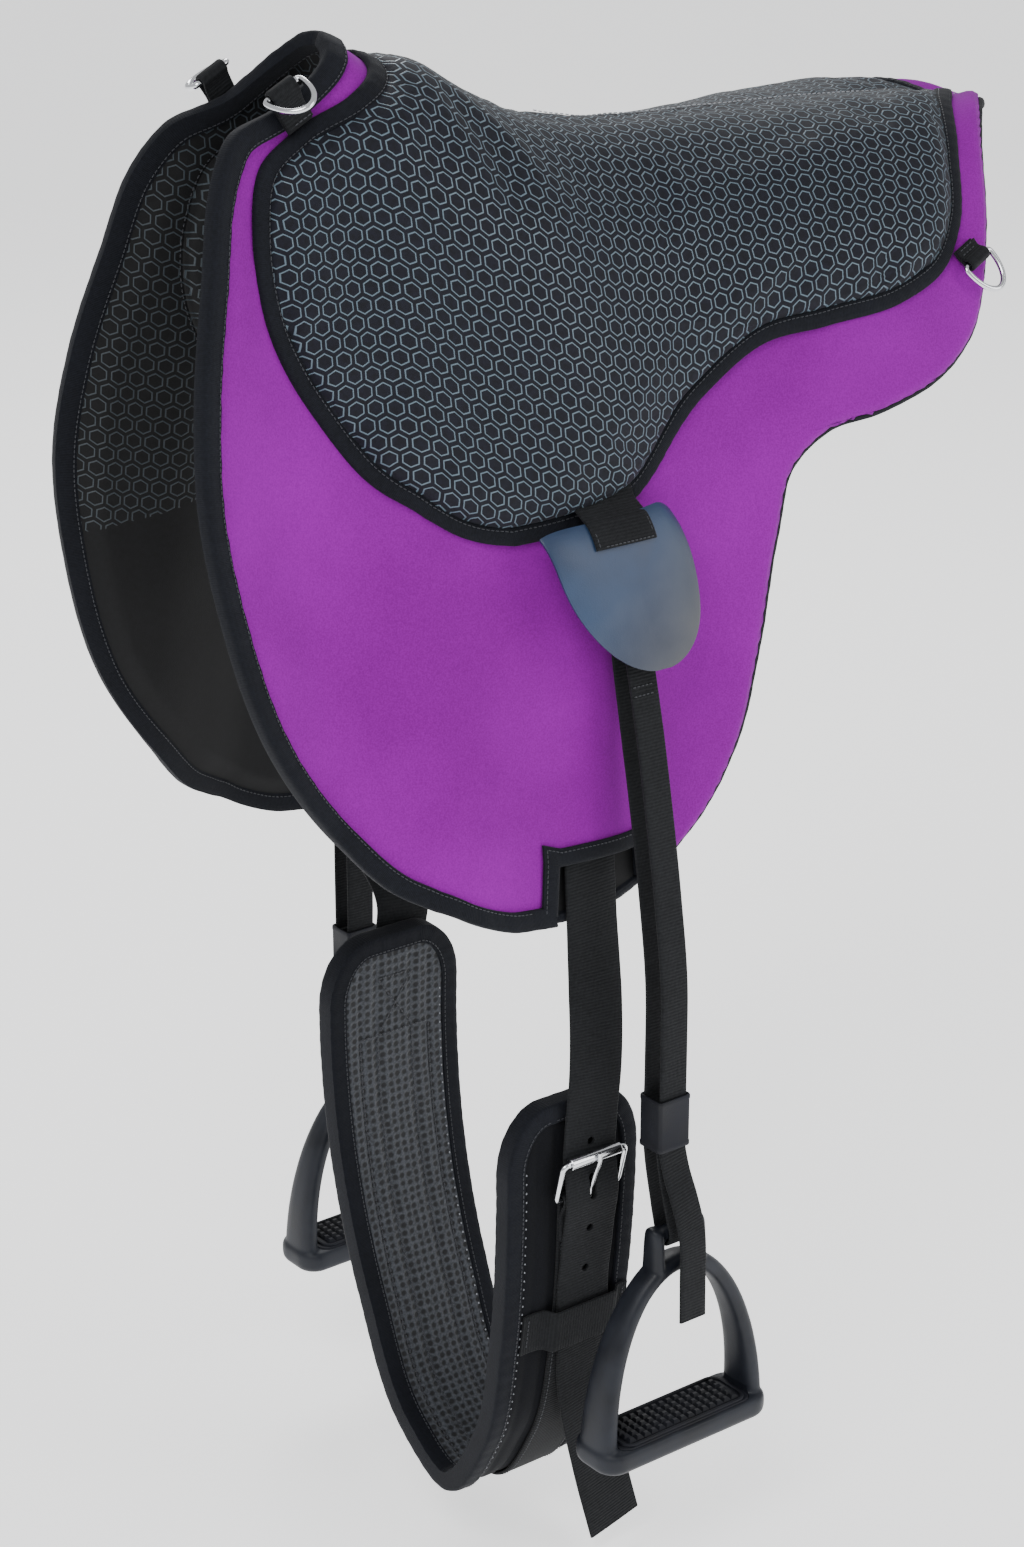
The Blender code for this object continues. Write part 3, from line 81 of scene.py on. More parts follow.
world = bpy.data.worlds.new("studio_air")
world.use_nodes = True
world.node_tree.nodes["Background"].inputs["Color"].default_value = (0.97, 0.98, 1.0, 1.0)
world.node_tree.nodes["Background"].inputs["Strength"].default_value = 0.62
bpy.context.scene.world = world


def softbox(name, place, target, size, watts):
    lamp = bpy.data.lights.new(name, "AREA")
    lamp.shape = "RECTANGLE"
    lamp.size, lamp.size_y = size
    lamp.energy = watts
    box = bpy.data.objects.new(name, lamp)
    box.location = place
    box.rotation_euler = (Vector(target) - Vector(place)).to_track_quat("-Z", "Y").to_euler()
    bpy.context.scene.collection.objects.link(box)


softbox("softbox_key", (-2.2, -1.4, 2.3), (0.0, 0.0, -0.3), (1.8, 1.8), 76.0)
softbox("softbox_fill", (1.6, -2.6, 0.9), (0.0, 0.0, -0.4), (1.6, 2.2), 34.0)
softbox("softbox_back", (1.2, 2.2, 1.8), (0.0, 0.0, -0.3), (1.4, 1.4), 48.0)


def link(tree, value, socket):
    if isinstance(value, bpy.types.NodeSocket):
        tree.links.new(value, socket)
    else:
        socket.default_value = value


def node(tree, kind, inputs=(), **settings):
    """Adds a shader node; inputs are pairs of socket name or number and value or link."""
    made = tree.nodes.new(kind)
    for key, value in settings.items():
        setattr(made, key, value)
    for key, value in inputs:
        link(tree, value, made.inputs[key])
    return made


def sums(tree, operation, a, b=0.0, c=0.0):
    made = node(tree, "ShaderNodeMath", [(0, a), (1, b), (2, c)], operation=operation)
    return made.outputs[0]


def blend_colour(tree, share, first, second):
    mixed = node(tree, "ShaderNodeMix", data_type="RGBA")
    link(tree, share, mixed.inputs[0])
    link(tree, first, mixed.inputs[6])
    link(tree, second, mixed.inputs[7])
    return mixed.outputs[2]


def finish(name, roughness, metallic=0.0, **sockets):
    """New material with its shader's fixed values set on the shader itself."""
    material = bpy.data.materials.new(name)
    material.use_nodes = True
    shader = material.node_tree.nodes["Principled BSDF"]
    shader.inputs["Roughness"].default_value = roughness
    shader.inputs["Metallic"].default_value = metallic
    for key, value in sockets.items():
        shader.inputs[key.replace("_", " ")].default_value = value
    return material, material.node_tree, shader


def remap(tree, value, *ends):
    """Value stretched between ends: 1 and 2 of what comes in, 3 and 4 of what goes out."""
    return node(tree, "ShaderNodeMapRange", [(0, value), *ends]).outputs[0]


def object_place(tree):
    return node(tree, "ShaderNodeTexCoord").outputs["Object"]


def speckle(tree, scale, detail=3.0, where=None, low=0.35, high=0.65):
    """Noise over the piece as a share from 0 to 1, stretched between low and high."""
    where = where or object_place(tree)
    grain = node(tree, "ShaderNodeTexNoise", [("Vector", where), ("Scale", scale),
                                              ("Detail", detail)])
    return remap(tree, grain.outputs[0], (1, low), (2, high))


def relief(tree, shader, height, distance, strength=1.0, under=None):
    bump = node(tree, "ShaderNodeBump", [("Height", height), ("Distance", distance),
                                         ("Strength", strength)])
    if under:
        tree.links.new(under, bump.inputs["Normal"])
    tree.links.new(bump.outputs[0], shader.inputs["Normal"])
    return bump.outputs[0]


floor_paint, tree, shader = finish("studio_floor_paint", 0.75)
tone = blend_colour(tree, speckle(tree, 0.9), (0.86, 0.86, 0.865, 1), (0.89, 0.89, 0.89, 1))
tree.links.new(tone, shader.inputs["Base Color"])
shader.inputs["Emission Color"].default_value = (1.0, 1.0, 1.0, 1.0)
shader.inputs["Emission Strength"].default_value = 0.9
bm = bmesh.new()
bmesh.ops.create_grid(bm, x_segments=8, y_segments=8, size=25.0)
bmesh.ops.translate(bm, vec=(0, 0, FLOOR_Z), verts=bm.verts)
floor_mesh = bpy.data.meshes.new("studio_floor")
bm.to_mesh(floor_mesh)
bm.free()
floor_mesh.materials.append(floor_paint)
floor = bpy.data.objects.new("studio_floor", floor_mesh)
bpy.context.scene.collection.objects.link(floor)


# Pad cover.  One piece of foam-backed purple stretch cloth, cut to the pad's pattern and
# shaped over the horse's back.  Its rear edge is rolled under, its front edge and the
# cut-out of each girth strap are bound with black tape.
SPINE = [(-0.360, 0.113), (-0.270, 0.108), (-0.198, 0.097), (-0.150, 0.069), (-0.100, 0.042),
         (-0.050, 0.021), (0.000, 0.0118), (0.100, 0.0085), (0.200, 0.009), (0.290, 0.005),
         (0.380, 0.001)]
BEND = [(-0.360, 0.042), (-0.310, 0.028), (-0.270, 0.018), (-0.230, 0.021), (-0.190, 0.034),
        (-0.090, 0.072), (0.000, 0.085), (0.090, 0.115), (0.180, 0.142), (0.270, 0.144),
        (0.380, 0.122)]
FLANK = [(-0.360, 82.0), (-0.200, 79.5), (-0.100, 84.5), (0.000, 88.0), (0.100, 90.5),
         (0.380, 91.0)]
DIP = [(-0.060, 0.0), (0.050, 2.0), (0.150, 9.0), (0.250, 18.0), (0.320, 28.0), (0.380, 38.0)]
DIP_REACH = 0.020
PAD_FRONT = [(-0.198, 0.000), (-0.208, 0.026), (-0.242, 0.055), (-0.286, 0.077),
             (-0.305, 0.106), (-0.323, 0.166), (-0.340, 0.233), (-0.348, 0.306),
             (-0.340, 0.370), (-0.311, 0.461), (-0.270, 0.517), (-0.237, 0.554),
             (-0.215, 0.568)]
PAD_BOTTOM = [(-0.215, 0.568), (-0.190, 0.577), (-0.158, 0.577), (-0.132, 0.571)]
PAD_REAR = [(0.372, 0.000), (0.360, 0.018), (0.330, 0.052), (0.300, 0.092), (0.269, 0.157),
            (0.253, 0.192), (0.237, 0.219), (0.205, 0.243), (0.152, 0.254), (0.110, 0.254),
            (0.083, 0.270), (0.069, 0.312), (0.054, 0.390), (0.040, 0.448), (0.016, 0.492),
            (-0.012, 0.519), (-0.060, 0.545), (-0.110, 0.565), (-0.132, 0.571)]
PAD_MATCH = [(0.0, 0.0), (0.35, 0.35), (0.46, 0.42), (0.55, 0.51), (0.64, 0.61), (1.0, 1.0)]
NOTCH = [(-0.128, 0.620), (-0.116, 0.527), (-0.040, 0.503), (-0.034, 0.620)]
SEAT_FRONT = [(-0.172, 0.000), (-0.180, 0.028), (-0.203, 0.053), (-0.240, 0.071),
              (-0.269, 0.092), (-0.282, 0.135), (-0.281, 0.182), (-0.254, 0.246),
              (-0.214, 0.300), (-0.190, 0.314)]
SEAT_BOTTOM = [(-0.190, 0.314), (-0.172, 0.319), (-0.150, 0.319), (-0.131, 0.316)]
SEAT_REAR = [(0.338, 0.000), (0.330, 0.020), (0.296, 0.058), (0.265, 0.106), (0.243, 0.148),
             (0.216, 0.177), (0.174, 0.190), (0.117, 0.187), (0.065, 0.185), (0.022, 0.206),
             (-0.036, 0.267), (-0.088, 0.297), (-0.131, 0.316)]
SEAT_MATCH = [(0.0, 0.0), (0.34, 0.35), (0.575, 0.44), (0.65, 0.51), (0.78, 0.66), (1.0, 1.0)]
PAD_SHAPE = (PAD_FRONT, PAD_BOTTOM, PAD_REAR, PAD_MATCH)
SEAT_SHAPE = (SEAT_FRONT, SEAT_BOTTOM, SEAT_REAR, SEAT_MATCH)
GAP = 0.0003
COVER = 0.0020
LINING_HIGH = -0.0098
LINING_LOW = -0.0120
TAPE = 0.0014
TAPE_WIDTH = 0.0120
EDGE_PRESS = 0.0058
REAR_ROLL = 0.0080
SIDES = (("near", -1), ("off", 1))
FINE = np.linspace(0.0, 1.0, 400)


def unit(v):
    v = np.asarray(v, float)
    return v / np.linalg.norm(v, axis=-1, keepdims=True)


def run_along(path):
    """Length of a path up to each of its points."""
    return np.concatenate([[0.0], np.cumsum(np.linalg.norm(np.diff(path, axis=0), axis=1))])


def along_run(at, run, path):
    """Points of a path at the given lengths."""
    return np.column_stack([np.interp(at, run, column) for column in path.T])


def even_loop(loop, stations):
    """Even stations round a closed loop, the normals out of it, and the length at each."""
    reach = run_along(loop)
    at = np.linspace(0.0, reach[-1], stations, endpoint=False)
    even = along_run(at, reach, loop)
    along = unit(np.roll(even, -1, axis=0) - np.roll(even, 1, axis=0))
    return even, np.column_stack([along[:, 1], -along[:, 0]]), at


def cubic(s, h, a, b, slope_a, slope_b):
    """Value a share s of the way along a step h from a to b, with the slopes given."""
    return ((2 * s**3 - 3 * s**2 + 1) * a + (s**3 - 2 * s**2 + s) * h * slope_a
            + (3 * s**2 - 2 * s**3) * b + (s**3 - s**2) * h * slope_b)


def hermite(points, where):
    """Smooth values at the chord lengths where, on a curve through the points."""
    p = np.array(points, float)
    knots = run_along(p)
    slopes = np.gradient(p, knots, axis=0)
    i = np.clip(np.searchsorted(knots, where, side="right") - 1, 0, len(p) - 2)
    h = (knots[i + 1] - knots[i])[:, None]
    s = (where - knots[i])[:, None] / h
    return cubic(s, h, p[i], p[i + 1], slopes[i], slopes[i + 1])


def smooth_curve(points, at):
    """Points on the curve through points, at the given shares of its length."""
    chords = np.linalg.norm(np.diff(np.array(points, float), axis=0), axis=1)
    dense = hermite(points, np.linspace(0.0, chords.sum(), 30 * len(points)))
    reach = run_along(dense)
    return along_run(np.asarray(at) * reach[-1], reach, dense)


def graph(points, x):
    """Value at x of the smooth graph through the points."""
    p = np.array(points, float)
    slopes = np.gradient(p[:, 1], p[:, 0])
    i = int(np.clip(np.searchsorted(p[:, 0], x) - 1, 0, len(p) - 2))
    h = p[i + 1, 0] - p[i, 0]
    s = np.clip((x - p[i, 0]) / h, -0.3, 1.3)
    return cubic(s, h, p[i, 1], p[i + 1, 1], slopes[i], slopes[i + 1])


X_STEP = 0.004
T_STEP = 0.002
T_COUNT = 350
X_LINES = np.arange(-0.384, 0.4081, X_STEP)


def rib(x):
    """Cross-section of the back at x: half width and height at every step from the spine."""
    middle = (np.arange(T_COUNT) + 0.5) * T_STEP
    steep = math.radians(graph(FLANK, x)) * (1 - np.exp(-middle / graph(BEND, x)))
    dip = math.radians(max(graph(DIP, x), 0.0)) * middle / DIP_REACH
    steep -= dip * np.exp(1 - middle / DIP_REACH)
    y = np.concatenate([[0.0], np.cumsum(np.cos(steep)) * T_STEP])
    z = graph(SPINE, x) - np.concatenate([[0.0], np.cumsum(np.sin(steep)) * T_STEP])
    return y, z


BACK = np.zeros((len(X_LINES), 2 * T_COUNT + 1, 3))
for i, x in enumerate(X_LINES):
    y, z = rib(x)
    BACK[i, :, 0] = x
    BACK[i, :, 1] = np.concatenate([-y[:0:-1], y])
    BACK[i, :, 2] = np.concatenate([z[:0:-1], z])
OUT = np.cross(np.gradient(BACK, axis=0), np.gradient(BACK, axis=1))
OUT /= np.linalg.norm(OUT, axis=2)[:, :, None]


def on_back(x, t, height):
    """Points over the back: x, distance t round from the spine, height over the cover."""
    x, t, height = np.broadcast_arrays(*[np.asarray(v, float) for v in (x, t, height)])
    i = np.clip((x - X_LINES[0]) / X_STEP, 0, len(X_LINES) - 1.001)
    j = np.clip(t / T_STEP + T_COUNT, 0, 2 * T_COUNT - 0.001)
    a = i.astype(int)
    b = j.astype(int)
    p = (i - a)[..., None]
    q = (j - b)[..., None]
    point, out = [(1 - p) * (1 - q) * grid[a, b] + p * (1 - q) * grid[a + 1, b]
                  + (1 - p) * q * grid[a, b + 1] + p * q * grid[a + 1, b + 1]
                  for grid in (BACK, OUT)]
    return point + out * height[..., None]


def outline_runs(shape, inset=0.0, start=0.0):
    """Front, bottom and rear runs of a half outline, moved inwards by inset."""
    front, bottom, rear, match = shape
    runs = []
    for points, shares in ((front, np.interp(FINE, *zip(*match))), (rear, FINE)):
        probe = smooth_curve(points, FINE)[:80]
        first = np.interp(start, probe[:, 1], FINE[:80])
        runs.append(smooth_curve(points, first + shares * (1 - first)))
    runs.insert(1, smooth_curve(bottom, FINE))
    front, bottom, rear = runs
    whole = np.vstack([front, bottom[1:], rear[::-1][1:]])
    mirrored = np.vstack([whole[1] * (1, -1), whole, whole[-2] * (1, -1)])
    along = np.gradient(mirrored, axis=0)[1:-1]
    along /= np.linalg.norm(along, axis=1)[:, None]
    whole = whole + inset * np.column_stack([along[:, 1], -along[:, 0]])
    n = len(FINE)
    return whole[:n], whole[n - 1:2 * n - 1], whole[2 * n - 2:][::-1]


def closed_outline(shape, stations, inset=0.0):
    """Whole outline as an even loop of pattern points, near side first, with normals."""
    front, bottom, rear = outline_runs(shape, inset)
    half = np.vstack([front, bottom[1:], rear[::-1][1:]])
    loop = np.vstack([half * (1, -1), half[-2:0:-1], half[:1]])
    return even_loop(loop, stations)


def filler(shape, inset=0.0, start=0.0):
    """Function from shares across and down a pattern piece to pattern points."""
    front, bottom, rear = outline_runs(shape, inset, start)

    def place(u, v):
        w = np.abs(v)
        ease = np.clip((w - 0.80) / 0.20, 0.0, 1.0) ** 2
        found = []
        for k in (0, 1):
            a = np.interp(w, FINE, front[:, k])
            b = np.interp(w, FINE, rear[:, k])
            sag = np.interp(u, FINE, bottom[:, k]) - front[-1, k] * (1 - u) - rear[-1, k] * u
            found.append(a * (1 - u) + b * u + ease * sag)
        return found[0], found[1] * np.where(v < 0, -1.0, 1.0)
    return place


def flat_pattern(columns, rows, place, low=-1.0, high=1.0):
    """Flat cloth of a pattern piece, a grid of cells laid out at x and t."""
    bm = bmesh.new()
    bmesh.ops.create_grid(bm, x_segments=columns, y_segments=rows, size=1.0)
    spots = np.array([v.co[:2] for v in bm.verts])
    v = low + (high - low) * (spots[:, 1] + 1) / 2
    for vert, x, t in zip(bm.verts, *place((spots[:, 0] + 1) / 2, v)):
        vert.co = (x, t, 0.0)
    return bm


def loop_tree(loop):
    tree = kdtree.KDTree(len(loop))
    for i, (x, t) in enumerate(loop):
        tree.insert((x, t, 0.0), i)
    tree.balance()
    return tree


def tuck_in(bm, loop, outs, margin):
    """Moves flat cloth that overran its outline back inside, and drops what it folded."""
    tree = loop_tree(loop)
    for vert in bm.verts:
        _, i, _ = tree.find(vert.co)
        over = float((np.array(vert.co.xy) - loop[i]) @ outs[i]) + margin
        if over > 0:
            vert.co.x -= over * outs[i][0]
            vert.co.y -= over * outs[i][1]
    bm.normal_update()
    up = sum(face.normal.z * face.calc_area() for face in bm.faces)
    turned = [f for f in bm.faces if f.normal.z * up <= 0 or f.calc_area() < 2e-8]
    bmesh.ops.delete(bm, geom=turned, context="FACES")


def near_to(loop):
    """Function giving each pattern point's distance to the loop, and the nearest place."""
    tree = loop_tree(loop)

    def ask(x, t):
        found = [tree.find((a, b, 0.0)) for a, b in zip(x, t)]
        return np.array([f[2] for f in found]), np.array([f[0][:2] for f in found])
    return ask


def ripple(x, t, size, seed):
    """Soft uneven rise and fall over the pattern, from about -1 to 1."""
    return np.array([noise.noise((a / size, b / size, seed)) for a, b in zip(x, t)]) * 1.6


def finish_piece(name, bm, material, out=None, auto=60.0):
    """Turns a bmesh into a shown object, facing out where a direction is given."""
    if out is not None:
        bm.normal_update()
        facing = sum(f.normal.dot(out(f.calc_center_median())) * f.calc_area()
                     for f in bm.faces)
        if facing < 0:
            bmesh.ops.reverse_faces(bm, faces=bm.faces)
    mesh = bpy.data.meshes.new(name)
    bm.to_mesh(mesh)
    bm.free()
    mesh.materials.append(material)
    mesh.shade_smooth()
    mesh.set_sharp_from_angle(angle=math.radians(auto))
    piece = bpy.data.objects.new(name, mesh)
    bpy.context.scene.collection.objects.link(piece)
    return piece


def outwards(point):
    """Direction away from the horse at a place."""
    axis = Vector((0.0, 0.0, -0.12))
    away = Vector((0.0, point.y, point.z)) - axis
    return away.normalized()


def keep_pattern(bm):
    """Writes a flat pattern's places as its UV map, and returns them."""
    sheet_map = bm.loops.layers.uv.new("pattern")
    for face in bm.faces:
        for corner in face.loops:
            corner[sheet_map].uv = corner.vert.co.xy
    return np.array([v.co[:2] for v in bm.verts])


def thicken(piece, thick):
    """Gives a sheet its thickness, behind the face that shows."""
    wall = piece.modifiers.new("thickness", "SOLIDIFY")
    wall.thickness = thick
    wall.offset = -1.0


def lay(name, bm, height, material):
    """Lays a flat pattern on the back at the heights given, with its pattern as UV."""
    flat = keep_pattern(bm)
    points = on_back(flat[:, 0], flat[:, 1], height(flat[:, 0], flat[:, 1]))
    for vert, point in zip(bm.verts, points):
        vert.co = point
    return finish_piece(name, bm, material, outwards)


def put(piece, body, slot, *nodes):
    """The piece moves with the body and stands for the nodes; slot is not used."""
    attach(piece, body)
    if nodes:
        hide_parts(*nodes)
    return piece


def stretch_cloth(name, deep, light, sheen, rough=0.82):
    """Brushed stretch cloth over foam: fine knit, nap and slow changes of tone."""
    material, tree, shader = finish(name, rough, Sheen_Weight=sheen, Sheen_Roughness=0.45)
    shader.inputs["Specular IOR Level"].default_value = 0.10
    where = object_place(tree)
    tone = sums(tree, "MULTIPLY_ADD", speckle(tree, 7.0, 4.0, where), 0.55,
                sums(tree, "MULTIPLY", speckle(tree, 900.0, 2.0, where), 0.45))
    tree.links.new(blend_colour(tree, tone, deep, light), shader.inputs["Base Color"])
    knit = node(tree, "ShaderNodeTexVoronoi", [("Vector", where), ("Scale", 1100.0)],
                feature="SMOOTH_F1")
    nap = speckle(tree, 1700.0, 4.0, where, 0.2, 0.8)
    loops = relief(tree, shader, knit.outputs[0], 0.00016, 0.7)
    relief(tree, shader, nap, 0.00010, 0.6, loops)
    return material


PURPLE = stretch_cloth("purple_neoprene", (0.168, 0.0006, 0.205, 1), (0.275, 0.0012, 0.345, 1),
                       0.04)
BLACK_CLOTH = stretch_cloth("black_neoprene", (0.0030, 0.0033, 0.0044, 1),
                            (0.0080, 0.0086, 0.0112, 1), 0.04)

pad_rim, pad_rim_out, pad_rim_at = closed_outline(PAD_SHAPE, 900)
seat_rim, seat_rim_out, seat_rim_at = closed_outline(SEAT_SHAPE, 640)
pad_rim_near = near_to(pad_rim)
seat_rim_near = near_to(seat_rim)
notch_near = near_to(np.vstack([np.linspace(a, b, 30) for a, b in zip(NOTCH[:-1], NOTCH[1:])]))


def cover_height(x, t):
    """Soft relief of the cover: rolled rear edge, sunk stitch lines and hand-pressed dips."""
    gap, spot = pad_rim_near(x, t)
    behind = np.clip((spot[:, 0] - NOTCH[1][0]) / 0.012, 0.0, 1.0)
    roll = np.clip(1 - gap / REAR_ROLL, 0.0, 1.0)
    drop = behind * REAR_ROLL * (1 - np.sqrt(np.clip(1 - roll ** 2, 0.0, 1.0)))
    drop += (1 - behind) * 0.0007 * np.clip((0.022 - gap) / 0.010, 0.0, 1.0)
    sewn, _ = seat_rim_near(x, t)
    drop += 0.0011 * np.exp(-(sewn / 0.009) ** 2)
    cut_gap, _ = notch_near(x, np.abs(t))
    drop += 0.0009 * np.exp(-(cut_gap / 0.016) ** 2)
    soft = 0.0011 * ripple(x, t, 0.075, 3.1) + 0.00045 * ripple(x, t, 0.028, 7.7)
    for px, pt, deep, wide in ((0.150, 0.222, 0.0016, 0.020), (0.018, 0.390, 0.0020, 0.028),
                               (-0.290, 0.300, 0.0016, 0.030), (-0.060, 0.440, 0.0014, 0.026)):
        soft -= deep * np.exp(-((x - px) ** 2 + (np.abs(t) - pt) ** 2) / wide ** 2)
    calm = np.clip(gap / 0.030, 0.0, 1.0)
    return soft * calm - drop - 0.0004


def cut_notches(bm):
    """Cuts the openings of the girth straps out of the flat cloth."""
    for _, sign in SIDES:
        for (ax, at), (bx, bt) in zip(NOTCH[:-1], NOTCH[1:]):
            side = Vector((bx - ax, sign * (bt - at), 0.0)).normalized()
            close = [f for f in bm.faces if -0.16 < f.calc_center_median().x < 0.0
                     and sign * f.calc_center_median().y > 0.47]
            edges = {e for f in close for e in f.edges}
            verts = {v for f in close for v in f.verts}
            bmesh.ops.bisect_plane(bm, geom=list(close) + list(edges) + list(verts),
                                   plane_co=(ax, sign * at, 0.0),
                                   plane_no=(-side.y, side.x, 0.0))
    gone = []
    for face in bm.faces:
        x, t = face.calc_center_median().xy
        left = NOTCH[0][0] + (abs(t) - NOTCH[0][1]) * (NOTCH[1][0] - NOTCH[0][0]) / (
            NOTCH[1][1] - NOTCH[0][1])
        right = NOTCH[3][0] + (abs(t) - NOTCH[3][1]) * (NOTCH[2][0] - NOTCH[3][0]) / (
            NOTCH[2][1] - NOTCH[3][1])
        top = NOTCH[1][1] + (x - NOTCH[1][0]) * (NOTCH[2][1] - NOTCH[1][1]) / (
            NOTCH[2][0] - NOTCH[1][0])
        if left < x < right and abs(t) > top:
            gone.append(face)
    bmesh.ops.delete(bm, geom=gone, context="FACES")


bm = flat_pattern(104, 320, filler(PAD_SHAPE, 0.0006))
tuck_in(bm, pad_rim, pad_rim_out, 0.0006)
cut_notches(bm)
cover = lay("pad_cover_cloth", bm, cover_height, PURPLE)
thicken(cover, COVER)
put(cover, "pad", "purple_neoprene", "pad_cover", "pad_foam_core")


# Edge binding.  Black folded tape sewn all round the pad: a full width on top in front,
# and behind only a thin line, because there the cover itself is rolled under.
def woven_tape(name, deep, light, pitch, rough=0.78):
    """Black tape: fine cross ribs along its length, read from the piece's own UV map."""
    material, tree, shader = finish(name, rough, Sheen_Weight=0.04, Sheen_Roughness=0.5)
    shader.inputs["Specular IOR Level"].default_value = 0.14
    where = node(tree, "ShaderNodeUVMap", uv_map="pattern").outputs[0]
    split = node(tree, "ShaderNodeSeparateXYZ", [(0, where)])
    ribs = sums(tree, "SINE", sums(tree, "MULTIPLY", split.outputs[0], 2 * math.pi / pitch))
    yarn = sums(tree, "SINE", sums(tree, "MULTIPLY", split.outputs[1], 4 * math.pi / pitch))
    cloth = sums(tree, "MULTIPLY_ADD", yarn, 0.35, ribs)
    cloth = sums(tree, "MULTIPLY_ADD", cloth, 0.37, 0.5)
    fuzz = speckle(tree, 500.0, 4.0)
    wear = speckle(tree, 22.0, 3.0)
    share = sums(tree, "MULTIPLY_ADD", fuzz, 0.4, sums(tree, "MULTIPLY", cloth, 0.4))
    share = sums(tree, "MULTIPLY_ADD", wear, 0.2, share)
    tree.links.new(blend_colour(tree, share, deep, light), shader.inputs["Base Color"])
    weave = relief(tree, shader, cloth, pitch * 0.16, 0.8)
    relief(tree, shader, fuzz, 0.00012, 0.5, weave)
    return material


TAPE_CLOTH = woven_tape("binding_tape", (0.0022, 0.0027, 0.0044, 1),
                        (0.0080, 0.0093, 0.0142, 1), 0.0011)


def wrap_rings(bm, rings, closed=False):
    """Skins an array of rings, stations by corners, round a tube, a strap or a tape."""
    n, m = rings.shape[:2]
    across = n if closed else n - 1
    made = bmesh.ops.create_grid(bm, x_segments=across, y_segments=m, size=1.0)["verts"]
    sheet_map = bm.loops.layers.uv.verify()
    spots = np.rint((np.array([v.co[:2] for v in made]) + 1) / 2 * (across, m)).astype(int)
    along = np.vstack([rings[:, 0], rings[:1, 0]])
    run = run_along(along)
    middle = rings[n // 2]
    wide = run_along(np.vstack([middle, middle[:1]]))
    place = {v: (i, j) for v, (i, j) in zip(made, spots)}
    faces = {f for v in made for f in v.link_faces}
    for face in faces:
        for corner in face.loops:
            i, j = place[corner.vert]
            corner[sheet_map].uv = (run[i], wide[j])
    for vert, (i, j) in place.items():
        vert.co = rings[i % n, j % m]
    bmesh.ops.remove_doubles(bm, verts=made, dist=1e-7)
    rims = {e for v in made if v.is_valid for e in v.link_edges if e.is_boundary}
    if rims:
        bmesh.ops.holes_fill(bm, edges=list(rims))


def skin(name, rings, material, closed=False, auto=60.0):
    """Solid piece skinned from rings, capped at its ends unless it is closed."""
    bm = bmesh.new()
    bm.loops.layers.uv.new("pattern")
    wrap_rings(bm, np.asarray(rings), closed)
    bmesh.ops.recalc_face_normals(bm, faces=bm.faces)
    return finish_piece(name, bm, material, auto=auto)


def stroke(start, end, steps):
    return [tuple(np.array(start) * (1 - s) + np.array(end) * s)
            for s in np.linspace(0, 1, steps, endpoint=False)]


def tape_hoop(name, loop, outs, surface, sections, material):
    """Folded tape round an outline.  Each station has its own section: inset, height."""
    rings = []
    for (x, t), (ox, ot), section in zip(loop, outs, sections):
        inset, height = np.array(section).T
        rings.append(surface(x - ox * inset, t - ot * inset, height))
    return skin(name, np.array(rings), material, closed=True)


def rim_section(x, t, run):
    """Section of the pad's tape where the outline passes x, t."""
    behind = min(max((x - NOTCH[1][0]) / 0.006, 0.0), 1.0)
    inside = NOTCH[1][0] - 0.002 < x < NOTCH[3][0] and abs(t) > 0.51
    crease = 0.0002 * math.sin(run * 520.0) + 0.0002 * math.sin(run * 233.0 + 1.0)
    low = LINING_LOW - 2 * GAP + EDGE_PRESS * (1 - behind)
    wide = TAPE_WIDTH * (1 - behind) + 0.0008 * behind
    if inside:
        high, wide = LINING_HIGH + 0.0004, 0.004
    elif behind > 0.5:
        high = -REAR_ROLL + 0.0008
    else:
        high = 0.0004
    lift = TAPE * (1.15 if behind < 0.5 else 0.75)
    bulge = 0.0022 + 0.0013 * behind
    top = high + lift + crease
    section = stroke((wide, high - 0.0004), (wide - 0.0006, top - 0.0002), 2)
    section += stroke((wide - 0.0006, top - 0.0002), (0.0022 * (1 - behind), top), 4)
    section += [(-0.0006, top - 0.0003), (-bulge * 0.8, top - 0.0016)]
    section += stroke((-bulge, top - 0.0034), (-bulge, low - 0.0002), 4)
    section += [(-bulge * 0.8, low - 0.0010), (0.0004, low - TAPE)]
    section += stroke((0.003, low - TAPE - 0.0001), (TAPE_WIDTH - 0.001, low - TAPE + 0.0002), 3)
    section += [(TAPE_WIDTH, low - 0.0004), (TAPE_WIDTH, low + 0.0008)]
    return section


sections = [rim_section(x, t, run) for (x, t), run in zip(pad_rim, pad_rim_at)]
edge_tape = tape_hoop("pad_edge_tape", pad_rim, pad_rim_out, on_back, sections, TAPE_CLOTH)
put(edge_tape, "pad", "binding_tape", "pad_edge_binding")


# Stitching.  Lockstitched bonded thread: every stitch a small half-sunk bead, 3 mm apart.
def thread(name, deep, light, rough):
    material, tree, shader = finish(name, rough, Sheen_Weight=0.2)
    strand = node(tree, "ShaderNodeTexWave", [("Scale", 900.0), ("Distortion", 1.0)])
    tree.links.new(object_place(tree), strand.inputs["Vector"])
    tree.links.new(blend_colour(tree, strand.outputs[1], deep, light),
                   shader.inputs["Base Color"])
    relief(tree, shader, strand.outputs[1], 0.00008, 0.6)
    return material


